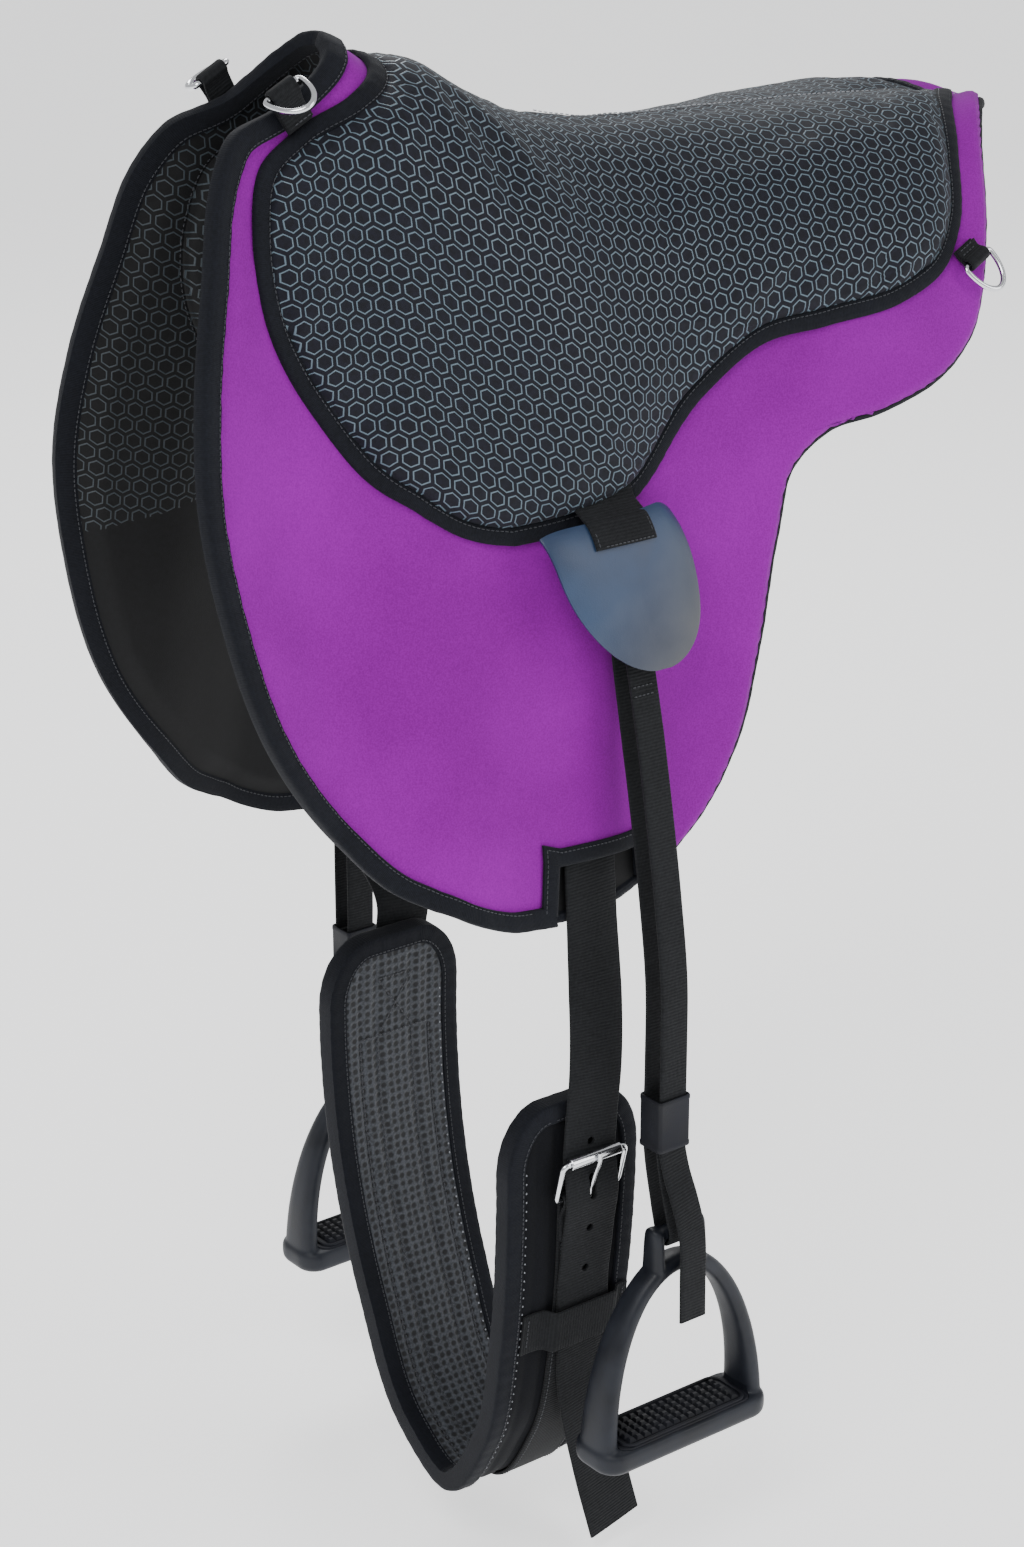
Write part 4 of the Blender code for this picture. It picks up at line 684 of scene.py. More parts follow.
DARK_THREAD = thread("thread_blue_black", (0.005, 0.006, 0.009, 1), (0.022, 0.026, 0.038, 1),
                     0.55)
SILVER_THREAD = thread("thread_silver", (0.16, 0.17, 0.19, 1), (0.42, 0.44, 0.48, 1), 0.45)
bead = bmesh.new()
bmesh.ops.create_uvsphere(bead, u_segments=6, v_segments=4, radius=0.5)
bead_mesh = bpy.data.meshes.new("stitch_bead")
bead.to_mesh(bead_mesh)
bead_shape = np.array([v.co[:] for v in bead.verts])
bead.free()


def stitches(name, rows, material, body, slot, pitch=0.0034, long=0.0027, thick=0.0008):
    """Rows of stitches; each row is a path of points with the directions away from it."""
    frames = []
    for path, outs in rows:
        path = np.asarray(path)
        outs = np.broadcast_to(np.asarray(outs, float), path.shape)
        run = run_along(path)
        at = np.arange(pitch / 2, run[-1], pitch)
        spot = along_run(at, run, path)
        ahead = along_run(at + 0.0008, run, path) - spot
        ahead = ahead / np.maximum(np.linalg.norm(ahead, axis=1), 1e-9)[:, None]
        out = along_run(at, run, outs)
        out = out - ahead * (out * ahead).sum(axis=1)[:, None]
        out /= np.linalg.norm(out, axis=1)[:, None]
        side = np.cross(ahead, out)
        frames += list(zip(spot[:-1], ahead[:-1], side[:-1], out[:-1]))
    bm = bmesh.new()
    for _ in frames:
        bm.from_mesh(bead_mesh)
    size = len(bead_shape)
    bm.verts.ensure_lookup_table()
    for k, (spot, ahead, side, out) in enumerate(frames):
        shape = (bead_shape[:, 2:] * long * ahead + bead_shape[:, :1] * thick * side
                 + bead_shape[:, 1:2] * thick * 0.8 * out + spot + out * thick * 0.12)
        for vert, co in zip(bm.verts[k * size:(k + 1) * size], shape):
            vert.co = co
    bmesh.ops.recalc_face_normals(bm, faces=bm.faces)
    return put(finish_piece(name, bm, material), body, slot)


def on_pad_row(points, height):
    """A row of stitches lying on the pad, with its directions outwards."""
    x, t = np.asarray(points).T
    low = on_back(x, t, height)
    return low, on_back(x, t, np.asarray(height) + 0.01) - low


front_rim = [k for k, (x, t) in enumerate(pad_rim) if x < NOTCH[1][0] - 0.016]
runs = np.split(front_rim, np.where(np.diff(front_rim) > 1)[0] + 1)
rows = [on_pad_row(pad_rim[k] - pad_rim_out[k] * 0.0100, 0.0020) for k in runs]
rows += [on_pad_row(pad_rim[k] - pad_rim_out[k] * 0.0100, LINING_LOW + EDGE_PRESS - 0.0020)
         for k in runs]
stitches("pad_edge_stitches", rows, DARK_THREAD, "pad", "binding_tape")
spine_back = [(x, 0.0) for x in np.linspace(0.343, 0.367, 14)]
stitches("pad_centre_stitches", [on_pad_row(spine_back, 0.0003)], SILVER_THREAD, "pad",
         "purple_neoprene")


# Cut-out binding.  The same tape folded over the raw edge of each girth-strap opening.
for side, sign in SIDES:
    a, b, c, d = [np.array(p) for p in NOTCH]
    a = b + (a - b) * (0.5625 - b[1]) / (a[1] - b[1])
    d = c + (d - c) * (0.5290 - c[1]) / (d[1] - c[1])
    corners = [(a, (-1.0, 0.0)), (b, (-1.0, 0.0)), (b, (-1.0, -1.0)), (b, (0.2, -1.0)),
               (c, (0.2, -1.0)), (c, (1.0, -1.0)), (c, (1.0, 0.0)), (d, (1.0, 0.0))]
    path = []
    for (p, o), (q, r) in zip(corners[:-1], corners[1:]):
        steps = 2 if np.allclose(p, q) else 16
        path += [(p * (1 - s) + q * s, np.array(o) * (1 - s) + np.array(r) * s)
                 for s in np.linspace(0, 1, steps, endpoint=False)]
    path.append((d, np.array((1.0, 0.0))))
    rings = []
    for spot, away in path:
        fold = ((0.0125, 0.0000), (0.0120, 0.0014), (0.0070, 0.0019), (0.0020, 0.0019),
                (0.0002, 0.0013), (-0.0011, 0.0002), (-0.0013, -0.0040), (-0.0012, -0.0094),
                (0.0020, -0.0094), (0.0020, -0.0030), (0.0060, -0.0022))
        fold = np.array(fold)
        flat = spot + away * fold[:, :1]
        rings.append(on_back(flat[:, 0], sign * flat[:, 1], fold[:, 1]))
    tape = skin("notch_tape_" + side, rings, TAPE_CLOTH)
    put(tape, "pad", "binding_tape", "notch_binding_" + side)
    seam = np.array([spot + away * 0.0098 for spot, away in path])
    seam[:, 1] *= sign
    stitches("notch_stitches_" + side, [on_pad_row(seam, 0.0018)], DARK_THREAD, "pad",
             "binding_tape")


# Seat.  A foam cushion under black grippy cloth printed with hexagon rings, sewn down
# all round and along the spine, where the silver-threaded seam draws it in.
HEX_PITCH = 0.0118


def ring_print(name, deep, ring, lower=False):
    """Black cloth with glossy raised hexagon rings, points up, laid out in the pattern."""
    material, tree, shader = finish(name, 0.5, Sheen_Weight=0.03)
    shader.inputs["Specular IOR Level"].default_value = 0.24
    uv = node(tree, "ShaderNodeUVMap", uv_map="pattern").outputs[0]
    where = node(tree, "ShaderNodeVectorMath", [(0, uv), (3, 1 / HEX_PITCH)],
                 operation="SCALE").outputs[0]
    cell = (1.0, 1.80, 1.0)
    half = tuple(c / 2 for c in cell)
    corners = []
    for shift in ((0, 0, 0), half):
        moved = node(tree, "ShaderNodeVectorMath", [(0, where), (1, shift)],
                     operation="SUBTRACT").outputs[0]
        wrapped = node(tree, "ShaderNodeVectorMath", [(0, moved), (1, cell), (2, (0, 0, 0))],
                       operation="WRAP").outputs[0]
        centred = node(tree, "ShaderNodeVectorMath", [(0, wrapped), (1, half)],
                       operation="SUBTRACT").outputs[0]
        flat = node(tree, "ShaderNodeSeparateXYZ", [(0, centred)])
        a = sums(tree, "ABSOLUTE", flat.outputs[0])
        b = sums(tree, "ABSOLUTE", flat.outputs[1])
        slope = sums(tree, "MULTIPLY_ADD", a, 0.5, sums(tree, "MULTIPLY", b, 0.866))
        corners.append(sums(tree, "MAXIMUM", a, slope))
    reach = sums(tree, "MINIMUM", corners[0], corners[1])
    off = sums(tree, "ABSOLUTE", sums(tree, "SUBTRACT", reach, 0.374))
    line = remap(tree, off, (1, 0.046), (2, 0.022))
    tone = speckle(tree, 300.0, 3.0)
    if lower:
        split = node(tree, "ShaderNodeSeparateXYZ", [(0, uv)])
        below = sums(tree, "SUBTRACT", sums(tree, "ABSOLUTE", split.outputs[1]),
                     sums(tree, "MAXIMUM", 0.300,
                          sums(tree, "MULTIPLY_ADD", split.outputs[0], -0.37, 0.2317)))
        line = sums(tree, "MULTIPLY", line, remap(tree, below, (1, 0.0012), (2, 0.0)))
    cloth = blend_colour(tree, tone, deep, tuple(1.9 * c for c in deep[:3]) + (1,))
    tree.links.new(blend_colour(tree, line, cloth, ring), shader.inputs["Base Color"])
    tree.links.new(remap(tree, line, (3, 0.72), (4, 0.27)), shader.inputs["Roughness"])
    raised = relief(tree, shader, line, 0.00035, 0.9)
    nap = speckle(tree, 1300.0, 4.0, low=0.2, high=0.8)
    relief(tree, shader, nap, 0.00010, 0.6, raised)
    return material


GRIP_CLOTH = ring_print("hexagon_grip", (0.0026, 0.0030, 0.0064, 1), (0.110, 0.155, 0.190, 1))
# A darker copy of the hexagon print, its cloth and rings dimmed: painted shade for the underside.
SHADED_LINING_CLOTH = ring_print("printed_lining_painted_shade", (0.0012, 0.0013, 0.0017, 1),
                          (0.038, 0.048, 0.056, 1), lower=True)
SEAT_TAPE = 0.0120


def seat_height(x, t, crown=0.0150):
    """Height of the cushion: crowned, round at the edge, drawn in at seam and stitches."""
    gap, spot = seat_rim_near(x, t)
    gap = np.maximum(gap - SEAT_TAPE, 0.0)
    rise = np.clip(gap / 0.030, 0.0, 1.0)
    flat = np.interp(x, (0.04, 0.22, 0.27, 0.33), (0.0, 0.0058, 0.0075, 0.0112))
    crown = crown - flat * np.exp(-(t / 0.090) ** 2)
    height = 0.0022 + (crown - 0.0022) * np.sqrt(1 - (1 - rise) ** 2.3)
    behind = np.clip((x + 0.05) / 0.05, 0.0, 1.0)
    sunk = np.clip(crown - 0.0155 + 0.035 * x, 0.0016, 0.0060)
    height -= sunk * np.exp(-np.abs(t) / 0.0055) * behind * np.clip(rise * 1.6, 0.0, 1.0)
    around = np.arctan2(spot[:, 1], spot[:, 0] - 0.02) * 24.0
    height += 0.0005 * np.sin(around * 1.7 + 2.0 * np.sin(around * 0.31)) * np.exp(
        -((gap - 0.009) / 0.008) ** 2)
    height += (0.0008 * ripple(x, t, 0.060, 5.3) + 0.0003 * ripple(x, t, 0.020, 9.1)) * rise
    return height


def swell(piece, held, cap, pressure=4.0, frames=20):
    """Lets a sewn-down cloth swell against its stitches, then keeps that shape."""
    mesh = piece.data
    start = np.array([v.co[:] for v in mesh.vertices])
    pins = piece.vertex_groups.new(name="sewn")
    for k, weight in enumerate(held):
        pins.add([k], float(weight), "REPLACE")
    cloth = piece.modifiers.new("swell", "CLOTH")
    cloth.settings.quality = 5
    cloth.settings.mass = 0.25
    cloth.settings.vertex_group_mass = "sewn"
    cloth.settings.tension_stiffness = 12.0
    cloth.settings.compression_stiffness = 12.0
    cloth.settings.bending_stiffness = 1.5
    cloth.settings.shrink_min = -0.012
    cloth.settings.use_pressure = True
    cloth.settings.uniform_pressure_force = pressure
    cloth.settings.effector_weights.gravity = 0.0
    cloth.point_cache.frame_start = 1
    cloth.point_cache.frame_end = frames
    for number in range(1, frames + 1):
        bpy.context.scene.frame_set(number)
    ready = piece.evaluated_get(bpy.context.evaluated_depsgraph_get())
    ended = np.array([v.co[:] for v in ready.data.vertices][:len(start)])
    moved = ended - start
    length = np.linalg.norm(moved, axis=1)
    share = np.minimum(1.0, cap / np.maximum(length, 1e-9)) * (1 - np.asarray(held))
    piece.modifiers.remove(cloth)
    bpy.context.scene.frame_set(1)
    for vert, co in zip(mesh.vertices, start + moved * share[:, None]):
        vert.co = co
    mesh.update()


bm = flat_pattern(84, 220, filler(SEAT_SHAPE, SEAT_TAPE - 0.0030))
seat = lay("seat_cushion", bm, seat_height, GRIP_CLOTH)
flat = np.array([corner.uv[:] for corner in seat.data.uv_layers["pattern"].data])
spots = np.zeros((len(seat.data.vertices), 2))
for loop, uv in zip(seat.data.loops, flat):
    spots[loop.vertex_index] = uv
gap, _ = seat_rim_near(spots[:, 0], spots[:, 1])
gap = np.maximum(gap - SEAT_TAPE, 0.0)
held = np.exp(-(gap / 0.004) ** 2)
sewn = np.exp(-(spots[:, 1] / 0.003) ** 2) * np.clip((spots[:, 0] + 0.05) / 0.05, 0.0, 1.0)
swell(seat, np.maximum(held, sewn), cap=0.0025)
thicken(seat, 0.0012)
put(seat, "pad", "hexagon_grip", "seat_cover", "seat_foam")

sections = []
for run in seat_rim_at:
    fine = 0.00025 * math.sin(run * 610.0) + 0.00015 * math.sin(run * 171.0)
    sections.append([(SEAT_TAPE, -0.0006), (SEAT_TAPE + 0.0004, 0.0022 + fine),
                     (SEAT_TAPE - 0.0012, 0.0034 + fine), (0.0075, 0.0036 + fine),
                     (0.0032, 0.0031 + fine), (0.0006, 0.0021 + fine), (0.0, 0.0006),
                     (0.0, -0.0014), (0.0042, -0.0016)])
seat_tape = tape_hoop("seat_edge_tape", seat_rim, seat_rim_out, on_back, sections, TAPE_CLOTH)
put(seat_tape, "pad", "binding_tape", "seat_edge_binding")
stitches("seat_edge_stitches", [on_pad_row(seat_rim - seat_rim_out * 0.0095, 0.0038)],
         DARK_THREAD, "pad", "binding_tape")
seam_x = np.linspace(-0.035, 0.323, 160)
seam_height = seat_height(seam_x, np.zeros_like(seam_x)) + 0.0006
low = on_back(seam_x, 0.0 * seam_x, seam_height)
stitches("seat_seam_stitches", [(low, (0.0, 0.0, 1.0))], SILVER_THREAD, "pad", "hexagon_grip",
         pitch=0.0046, long=0.0036, thick=0.0011)


# Lining and panels.  Black lining under the whole pad, printed with grip rings down to a
# slanting line, and a raised foam panel on each side that keeps the spine free.  Both wear a
# darker copy of the seat's hexagon print: painted shade for the underside of the pad.
bm = flat_pattern(96, 300, filler(PAD_SHAPE, 0.0008))
tuck_in(bm, pad_rim, pad_rim_out, 0.0008)


def lining_height(x, t):
    gap, spot = pad_rim_near(x, t)
    front = np.clip((NOTCH[1][0] - spot[:, 0]) / 0.02, 0.0, 1.0)
    press = EDGE_PRESS * front * np.clip(1 - (gap - 0.010) / 0.016, 0.0, 1.0)
    wave = 0.0005 * ripple(x, t, 0.070, 2.2) * np.clip(gap / 0.03, 0.0, 1.0)
    return LINING_LOW + press + wave


# The lining takes the dimmed copy of the print as painted shade.
lining = lay("pad_lining_cloth", bm, lining_height, SHADED_LINING_CLOTH)
for face in lining.data.polygons:
    face.flip()
thicken(lining, 0.0020)
put(lining, "pad", "black_neoprene", "pad_lining")

CHANNEL = 0.036
for side, sign in SIDES:
    place = filler(SEAT_SHAPE, 0.006, CHANNEL)
    bm = flat_pattern(70, 110, place, 0.0, 1.0)
    rim = np.array([v.co[:2] for v in bm.verts if v.is_boundary])
    rim_near = near_to(rim)
    for vert in bm.verts:
        vert.co.y *= sign

    def panel_height(x, t):
        gap, _ = rim_near(x, np.abs(t))
        rise = np.clip(gap / 0.026, 0.0, 1.0)
        lump = 0.0005 * ripple(x, t, 0.050, 4.4) * rise
        return LINING_LOW - 0.0004 - 0.0116 * np.sqrt(1 - (1 - rise) ** 2.2) - lump

    # The panels are hexagon grip, drawn with the dimmed copy of the print as painted shade.
    panel = lay("under_panel_cloth_" + side, bm, panel_height, SHADED_LINING_CLOTH)
    for face in panel.data.polygons:
        face.flip()
    put(panel, "pad", "hexagon_grip", "under_panel_" + side)
    thicken(panel, 0.0011)
    front, bottom, rear = outline_runs(SEAT_SHAPE, 0.0045, CHANNEL)
    spine_side = np.linspace(rear[0], front[0], 90)
    half = np.vstack([front, bottom[1:], rear[::-1][1:], spine_side]) * (1, sign)
    low, high = on_pad_row(half, LINING_LOW - 0.0006)
    stitches("under_panel_stitches_" + side, [(low, -high)], DARK_THREAD, "pad",
             "hexagon_grip", pitch=0.0040)


# Metal rings.  Bright welded D-rings, one at each shoulder and one behind each hip of the
# pad, each held by a tab of webbing folded round its straight bar.
def bright_metal(name, colour, rough):
    material, tree, shader = finish(name, rough, 1.0)
    smear = speckle(tree, 60.0, 4.0)
    tree.links.new(blend_colour(tree, smear, colour, tuple(0.86 * c for c in colour[:3]) + (1,)),
                   shader.inputs["Base Color"])
    gloss = remap(tree, smear, (3, rough * 0.8), (4, rough * 1.5))
    tree.links.new(gloss, shader.inputs["Roughness"])
    relief(tree, shader, speckle(tree, 1500.0, 3.0), 0.00003, 0.25)
    return material


CHROME = bright_metal("chrome", (0.80, 0.81, 0.83, 1), 0.13)
WEBBING = woven_tape("webbing", (0.0036, 0.0040, 0.0046, 1), (0.0150, 0.0160, 0.0180, 1),
                     0.0023)
WEB = 0.0024
D_WIRE = 0.0020
D_HALF = 0.0140
D_DEPTH = 0.025
D_BAR_HEIGHT = 0.0060
D_PLACES = (("front", -0.241, 0.0700, math.radians(243), 0.025, 122.0, 0.0049),
            ("rear", 0.2370, 0.1640, math.radians(67), 0.0125, 8.0, GAP))


def wire_rings(path, radius, normal, closed=True, sides=14):
    """Round wire along a flat path, as rings of points for skin."""
    path = np.asarray(path)
    if closed:
        ahead = np.roll(path, -1, axis=0) - np.roll(path, 1, axis=0)
    else:
        ahead = np.gradient(path, axis=0)
    side = unit(np.cross(unit(ahead), normal))
    a = np.linspace(0, 2 * math.pi, sides, endpoint=False)
    return (path[:, None] + radius * (np.cos(a)[None, :, None] * side[:, None]
                                      + np.sin(a)[None, :, None] * np.asarray(normal)))


def strap_rings(path, across, width, thick):
    """Flat webbing along a path, its edges rounded; width may change along it."""
    path = np.asarray(path)
    ahead = unit(np.gradient(path, axis=0))
    side = np.broadcast_to(np.asarray(across, float), path.shape)
    side = unit(side - ahead * (side * ahead).sum(axis=1)[:, None])
    up = np.cross(ahead, side)
    width = np.broadcast_to(width, len(path))
    flat = np.linspace(-1.0, 1.0, 7)
    section = [(s, 0.0, 0.5 + 0.08 * (1 - s * s)) for s in flat[::-1]]
    section += [(-1.0, -0.36, 0.36), (-1.0, -0.5, 0.0), (-1.0, -0.36, -0.36)]
    section += [(s, 0.0, -0.5) for s in flat]
    section += [(1.0, 0.36, -0.36), (1.0, 0.5, 0.0), (1.0, 0.36, 0.36)]
    rings = np.zeros((len(path), len(section), 3))
    for k, (s, beyond, h) in enumerate(section):
        reach = s * (width / 2 - thick / 2) + beyond * thick
        rings[:, k] = path + side * reach[:, None] + up * (h * thick)
    return rings


def even_path(points, step):
    """Smooth path through the points with steps of about the same length."""
    chords = np.linalg.norm(np.diff(np.asarray(points, float), axis=0), axis=1).sum()
    return smooth_curve(points, np.linspace(0.0, 1.0, max(int(chords / step), 4) + 1))


def pattern_frame(x, t, angle, sign):
    """Point on the cover, with directions away from it, along the tab and across it."""
    e = 0.004
    base = on_back(x, sign * t, 0.0)
    up = unit(on_back(x, sign * t, 0.01) - base)
    rearward = unit(on_back(x + e, sign * t, 0.0) - on_back(x - e, sign * t, 0.0))
    down = unit(on_back(x, sign * (t + e), 0.0) - on_back(x, sign * (t - e), 0.0))
    along = rearward * math.cos(angle) + down * math.sin(angle)
    along = unit(along - up * (along @ up))
    return base, up, along, unit(np.cross(up, along))


def folded_tab(name, frame, length, bar, bar_height, width, rest):
    """Webbing sewn flat at one end and folded round a bar at the other."""
    base, up, along, across = frame
    low = rest + WEB / 2
    turn = bar + GAP + WEB / 2
    path = [(0.0, low), (0.2 * length, low), (0.4 * length, low)]
    path += [(length + turn * math.cos(math.radians(a)),
              bar_height + turn * math.sin(math.radians(a))) for a in range(-115, 116, 18)]
    path += [(0.45 * length, low + WEB + GAP), (0.26 * length, low + WEB + GAP),
             (0.06 * length, low + WEB + GAP)]
    points = [base + along * s + up * h for s, h in path]
    return skin(name, strap_rings(even_path(points, 0.0011), across, width, WEB), WEBBING)


def d_path(centre, along, across, half_width, depth, wire):
    """Straight bar across with tight corners, then a round bow ahead of it."""
    corner = 1.3 * wire
    a = np.radians(np.linspace(-90, 0, 6))
    right = np.column_stack([half_width - corner + corner * np.cos(a), corner + corner * np.sin(a)])
    b = np.linspace(0, math.pi, 40)[1:-1]
    bow = np.column_stack([half_width * np.cos(b), corner + (depth - corner) * np.sin(b)])
    left = right[::-1] * (-1, 1)
    bar = np.column_stack([np.linspace(-half_width + corner, half_width - corner, 12)[1:-1],
                           np.zeros(10)])
    shape = np.vstack([bar, right, bow, left])
    return centre + across * shape[:, :1] + along * shape[:, 1:]


for side, sign in SIDES:
    for where, x, t, angle, length, lift, rest in D_PLACES:
        name = where + "_" + side
        shown = pattern_frame(x, t, angle, sign)
        base, up, along, across = shown
        height = rest + D_BAR_HEIGHT
        tab = folded_tab("ring_tab_" + name, shown, length, D_WIRE, height, 0.020, rest)
        put(tab, "pad", "webbing", "d_ring_tab_" + name)
        bar = base + along * length + up * height
        turned = along * math.cos(math.radians(lift)) + up * math.sin(math.radians(lift))
        path = d_path(bar, turned, across, D_HALF, D_DEPTH, D_WIRE)
        ring = skin("ring_" + name, wire_rings(path, D_WIRE, unit(np.cross(across, turned))),
                    CHROME, closed=True)
        put(ring, "ring_" + name, "chrome", "d_ring_" + name)
        lift_up = up * (rest + 2 * WEB + 0.0006)
        rows = []
        for s in (0.12, 0.40):
            ends = [base + along * (s * length) + lift_up + across * w for w in (-0.0085, 0.0085)]
            rows.append((ends, up))
        stitches("ring_tab_stitches_" + name, rows, DARK_THREAD, "pad", "webbing")


# Stirrup hangers.  A narrow webbing tab sewn to the flank holds a D-ring whose round bow
# slides in it, so that the stirrup strap on its straight bar can swing.
STIRRUP_X = -0.058
STIRRUP_Y = 0.180
HANGER_Y = 0.128
HANGER_Z = -0.2505
HANGER_WIRE = 0.0020
HANGER_HALF = 0.0165
HANGER_CORNER = 1.3 * HANGER_WIRE
EYE_Z = -0.707


def strap_point(sign, out, z):
    """Place in the stirrup strap's run, out from its middle line at the height z."""
    def lean(height):
        rise = min(max((height + 0.530) / (HANGER_Z + 0.530), 0.0), 1.15)
        return (STIRRUP_Y - HANGER_Y) * rise ** 1.3
    if z > HANGER_Z - 2 * HANGER_WIRE - WEB:
        out += lean(z) - lean(HANGER_Z)
    back = 0.011 * min(max((-0.642 - z) / (-0.642 - EYE_Z), 0.0), 1.0)
    return np.array((STIRRUP_X + back, sign * (STIRRUP_Y - lean(z) + out), z))


def flank_at(x, z):
    t = np.arange(0.0, 0.69, T_STEP)
    return float(np.interp(-z, -on_back(x, t, 0.0)[:, 2], t))


for side, sign in SIDES:
    bar = strap_point(sign, 0.0, HANGER_Z)
    depth = HANGER_CORNER + HANGER_HALF
    t = flank_at(STIRRUP_X, HANGER_Z + depth + 0.0115)
    shown = pattern_frame(STIRRUP_X, t, math.pi / 2, sign)
    top = bar + (0, 0, depth) - shown[0]
    tab = folded_tab("hanger_tab_cloth_" + side, shown, top @ shown[2], 0.0043, top @ shown[1],
                     0.014, 0.0022)
    put(tab, "pad", "webbing", "hanger_tab_" + side)
    path = d_path(bar, np.array((0, 0, 1.0)), np.array((1.0, 0, 0)), HANGER_HALF, depth,
                  HANGER_WIRE)
    ring = skin("hanger_d_ring_" + side, wire_rings(path, HANGER_WIRE, (0, 1.0, 0)), CHROME,
                closed=True)
    put(ring, "stirrup_strap_" + side, "chrome", "hanger_ring_" + side)


# Stirrup straps.  Narrow black webbing over the ring's bar and down through the iron's
# eye; the spare end passes the rubber keeper and hangs down in front.
STIRRUP_WEB_WIDTH = 0.0228
RUN = 0.0080
EYE_BAR = 0.0060


def arc(centre_out, centre_z, radius, first, last, steps):
    return [(centre_out + radius * math.cos(math.radians(a)),
             centre_z + radius * math.sin(math.radians(a)))
            for a in np.linspace(first, last, steps + 1)]


top_turn = HANGER_WIRE + GAP + WEB / 2
eye_turn = EYE_BAR + 2 * GAP + WEB / 2
middle = RUN - WEB - GAP
tail = [(0.0200, -0.768), (0.0195, -0.740), (0.0185, -0.705), (0.0150, -0.676),
        (RUN + 0.0022, -0.656), (RUN, -0.638)]
route = tail + [(RUN, -0.600), (RUN, -0.56), (RUN, -0.52), (RUN, -0.46), (RUN, -0.40),
                (RUN, -0.34), (RUN - 0.001, -0.300), (top_turn + 0.0012, -0.268)]
route += arc(0.0, HANGER_Z, top_turn, 0, 180, 8)
route += [(-top_turn - 0.0012, -0.268), (-RUN + 0.001, -0.300), (-RUN, -0.34), (-RUN, -0.40),
          (-RUN, -0.46), (-RUN, -0.52), (-RUN, -0.58), (-RUN, -0.638), (-RUN, -0.685)]
route += arc(0.0, EYE_Z, eye_turn, 180, 360, 10)
route += [(RUN - 0.0008, -0.692), (middle, -0.662), (middle, -0.638), (middle, -0.603)]
for side, sign in SIDES:
    points = even_path([strap_point(sign, out, z) for out, z in route], 0.0030)
    webbing = skin("stirrup_webbing_" + side,
                   strap_rings(points, (1.0, 0, 0), STIRRUP_WEB_WIDTH, WEB),
                   WEBBING)
    put(webbing, "stirrup_strap_" + side, "webbing", "stirrup_strap_" + side)
    rows = []
    for z in (-0.316, -0.322):
        low = strap_point(sign, RUN + WEB / 2 + 0.0002, z)
        rows.append(([low + (w, 0, 0) for w in (-0.0105, 0.0105)], (0, sign, 0)))
    stitches("stirrup_strap_stitches_" + side, rows, DARK_THREAD, "stirrup_strap_" + side,
             "webbing")


# Keepers.  A moulded rubber sleeve on each stirrup strap that holds the spare end.
SLEEVE_HALF_LONG = 0.0122
SLEEVE_HALF_WIDE = 0.0098


def pill(half_long, half_wide, corner, z, centre, steps=10):
    """Rounded rectangle round centre, at the height z from it."""
    loop = []
    for sx, sy, first in ((1, 1, 0), (-1, 1, 90), (-1, -1, 180), (1, -1, 270)):
        for a in np.radians(np.linspace(first, first + 90, steps)):
            loop.append(centre + (sx * (half_long - corner) + corner * math.cos(a),
                                  sy * (half_wide - corner) + corner * math.sin(a), z))
    return loop


def moulded(name, deep, light, rough, pebble, coarse):
    """Moulded rubber or plastic: a pebbled mould texture and slight rubbing on it."""
    material, tree, shader = finish(name, rough)
    shader.inputs["Specular IOR Level"].default_value = 0.26
    worn = speckle(tree, 35.0, 5.0)
    tree.links.new(blend_colour(tree, worn, deep, light), shader.inputs["Base Color"])
    gloss = remap(tree, worn, (3, rough * 0.85), (4, rough * 1.15))
    tree.links.new(gloss, shader.inputs["Roughness"])
    cells = node(tree, "ShaderNodeTexVoronoi", [("Scale", pebble)])
    tree.links.new(object_place(tree), cells.inputs["Vector"])
    under = relief(tree, shader, cells.outputs[0], coarse, 0.5)
    relief(tree, shader, speckle(tree, pebble * 2.5, 3.0), coarse * 0.5, 0.4, under)
    return material


RUBBER = moulded("tread_rubber", (0.0036, 0.0040, 0.0064, 1), (0.0092, 0.0102, 0.0155, 1), 0.62,
                 800.0, 0.00010)
PLASTIC = moulded("stirrup_plastic", (0.0080, 0.0092, 0.0130, 1), (0.0170, 0.0195, 0.0265, 1),
                  0.46, 1100.0, 0.00006)
for side, sign in SIDES:
    centre = strap_point(sign, 0.0, -0.600)
    rings = []
    for grow, drop in ((0.0, 0.0008), (0.0004, 0.0), (0.0013, 0.0), (0.0017, 0.0008),
                       (0.0017, 0.0030), (0.0013, 0.0038), (0.0013, 0.0342), (0.0017, 0.0350),
                       (0.0017, 0.0372), (0.0013, 0.0380), (0.0004, 0.0380), (0.0, 0.0372)):
        rings.append(pill(SLEEVE_HALF_LONG + grow, SLEEVE_HALF_WIDE + grow, 0.0012 + grow,
                          -drop, centre, 7))
    sleeve = skin("keeper_sleeve_" + side, np.array(rings).transpose(1, 0, 2), RUBBER,
                  closed=True)
    put(sleeve, "keeper_" + side, "tread_rubber", "strap_keeper_" + side)


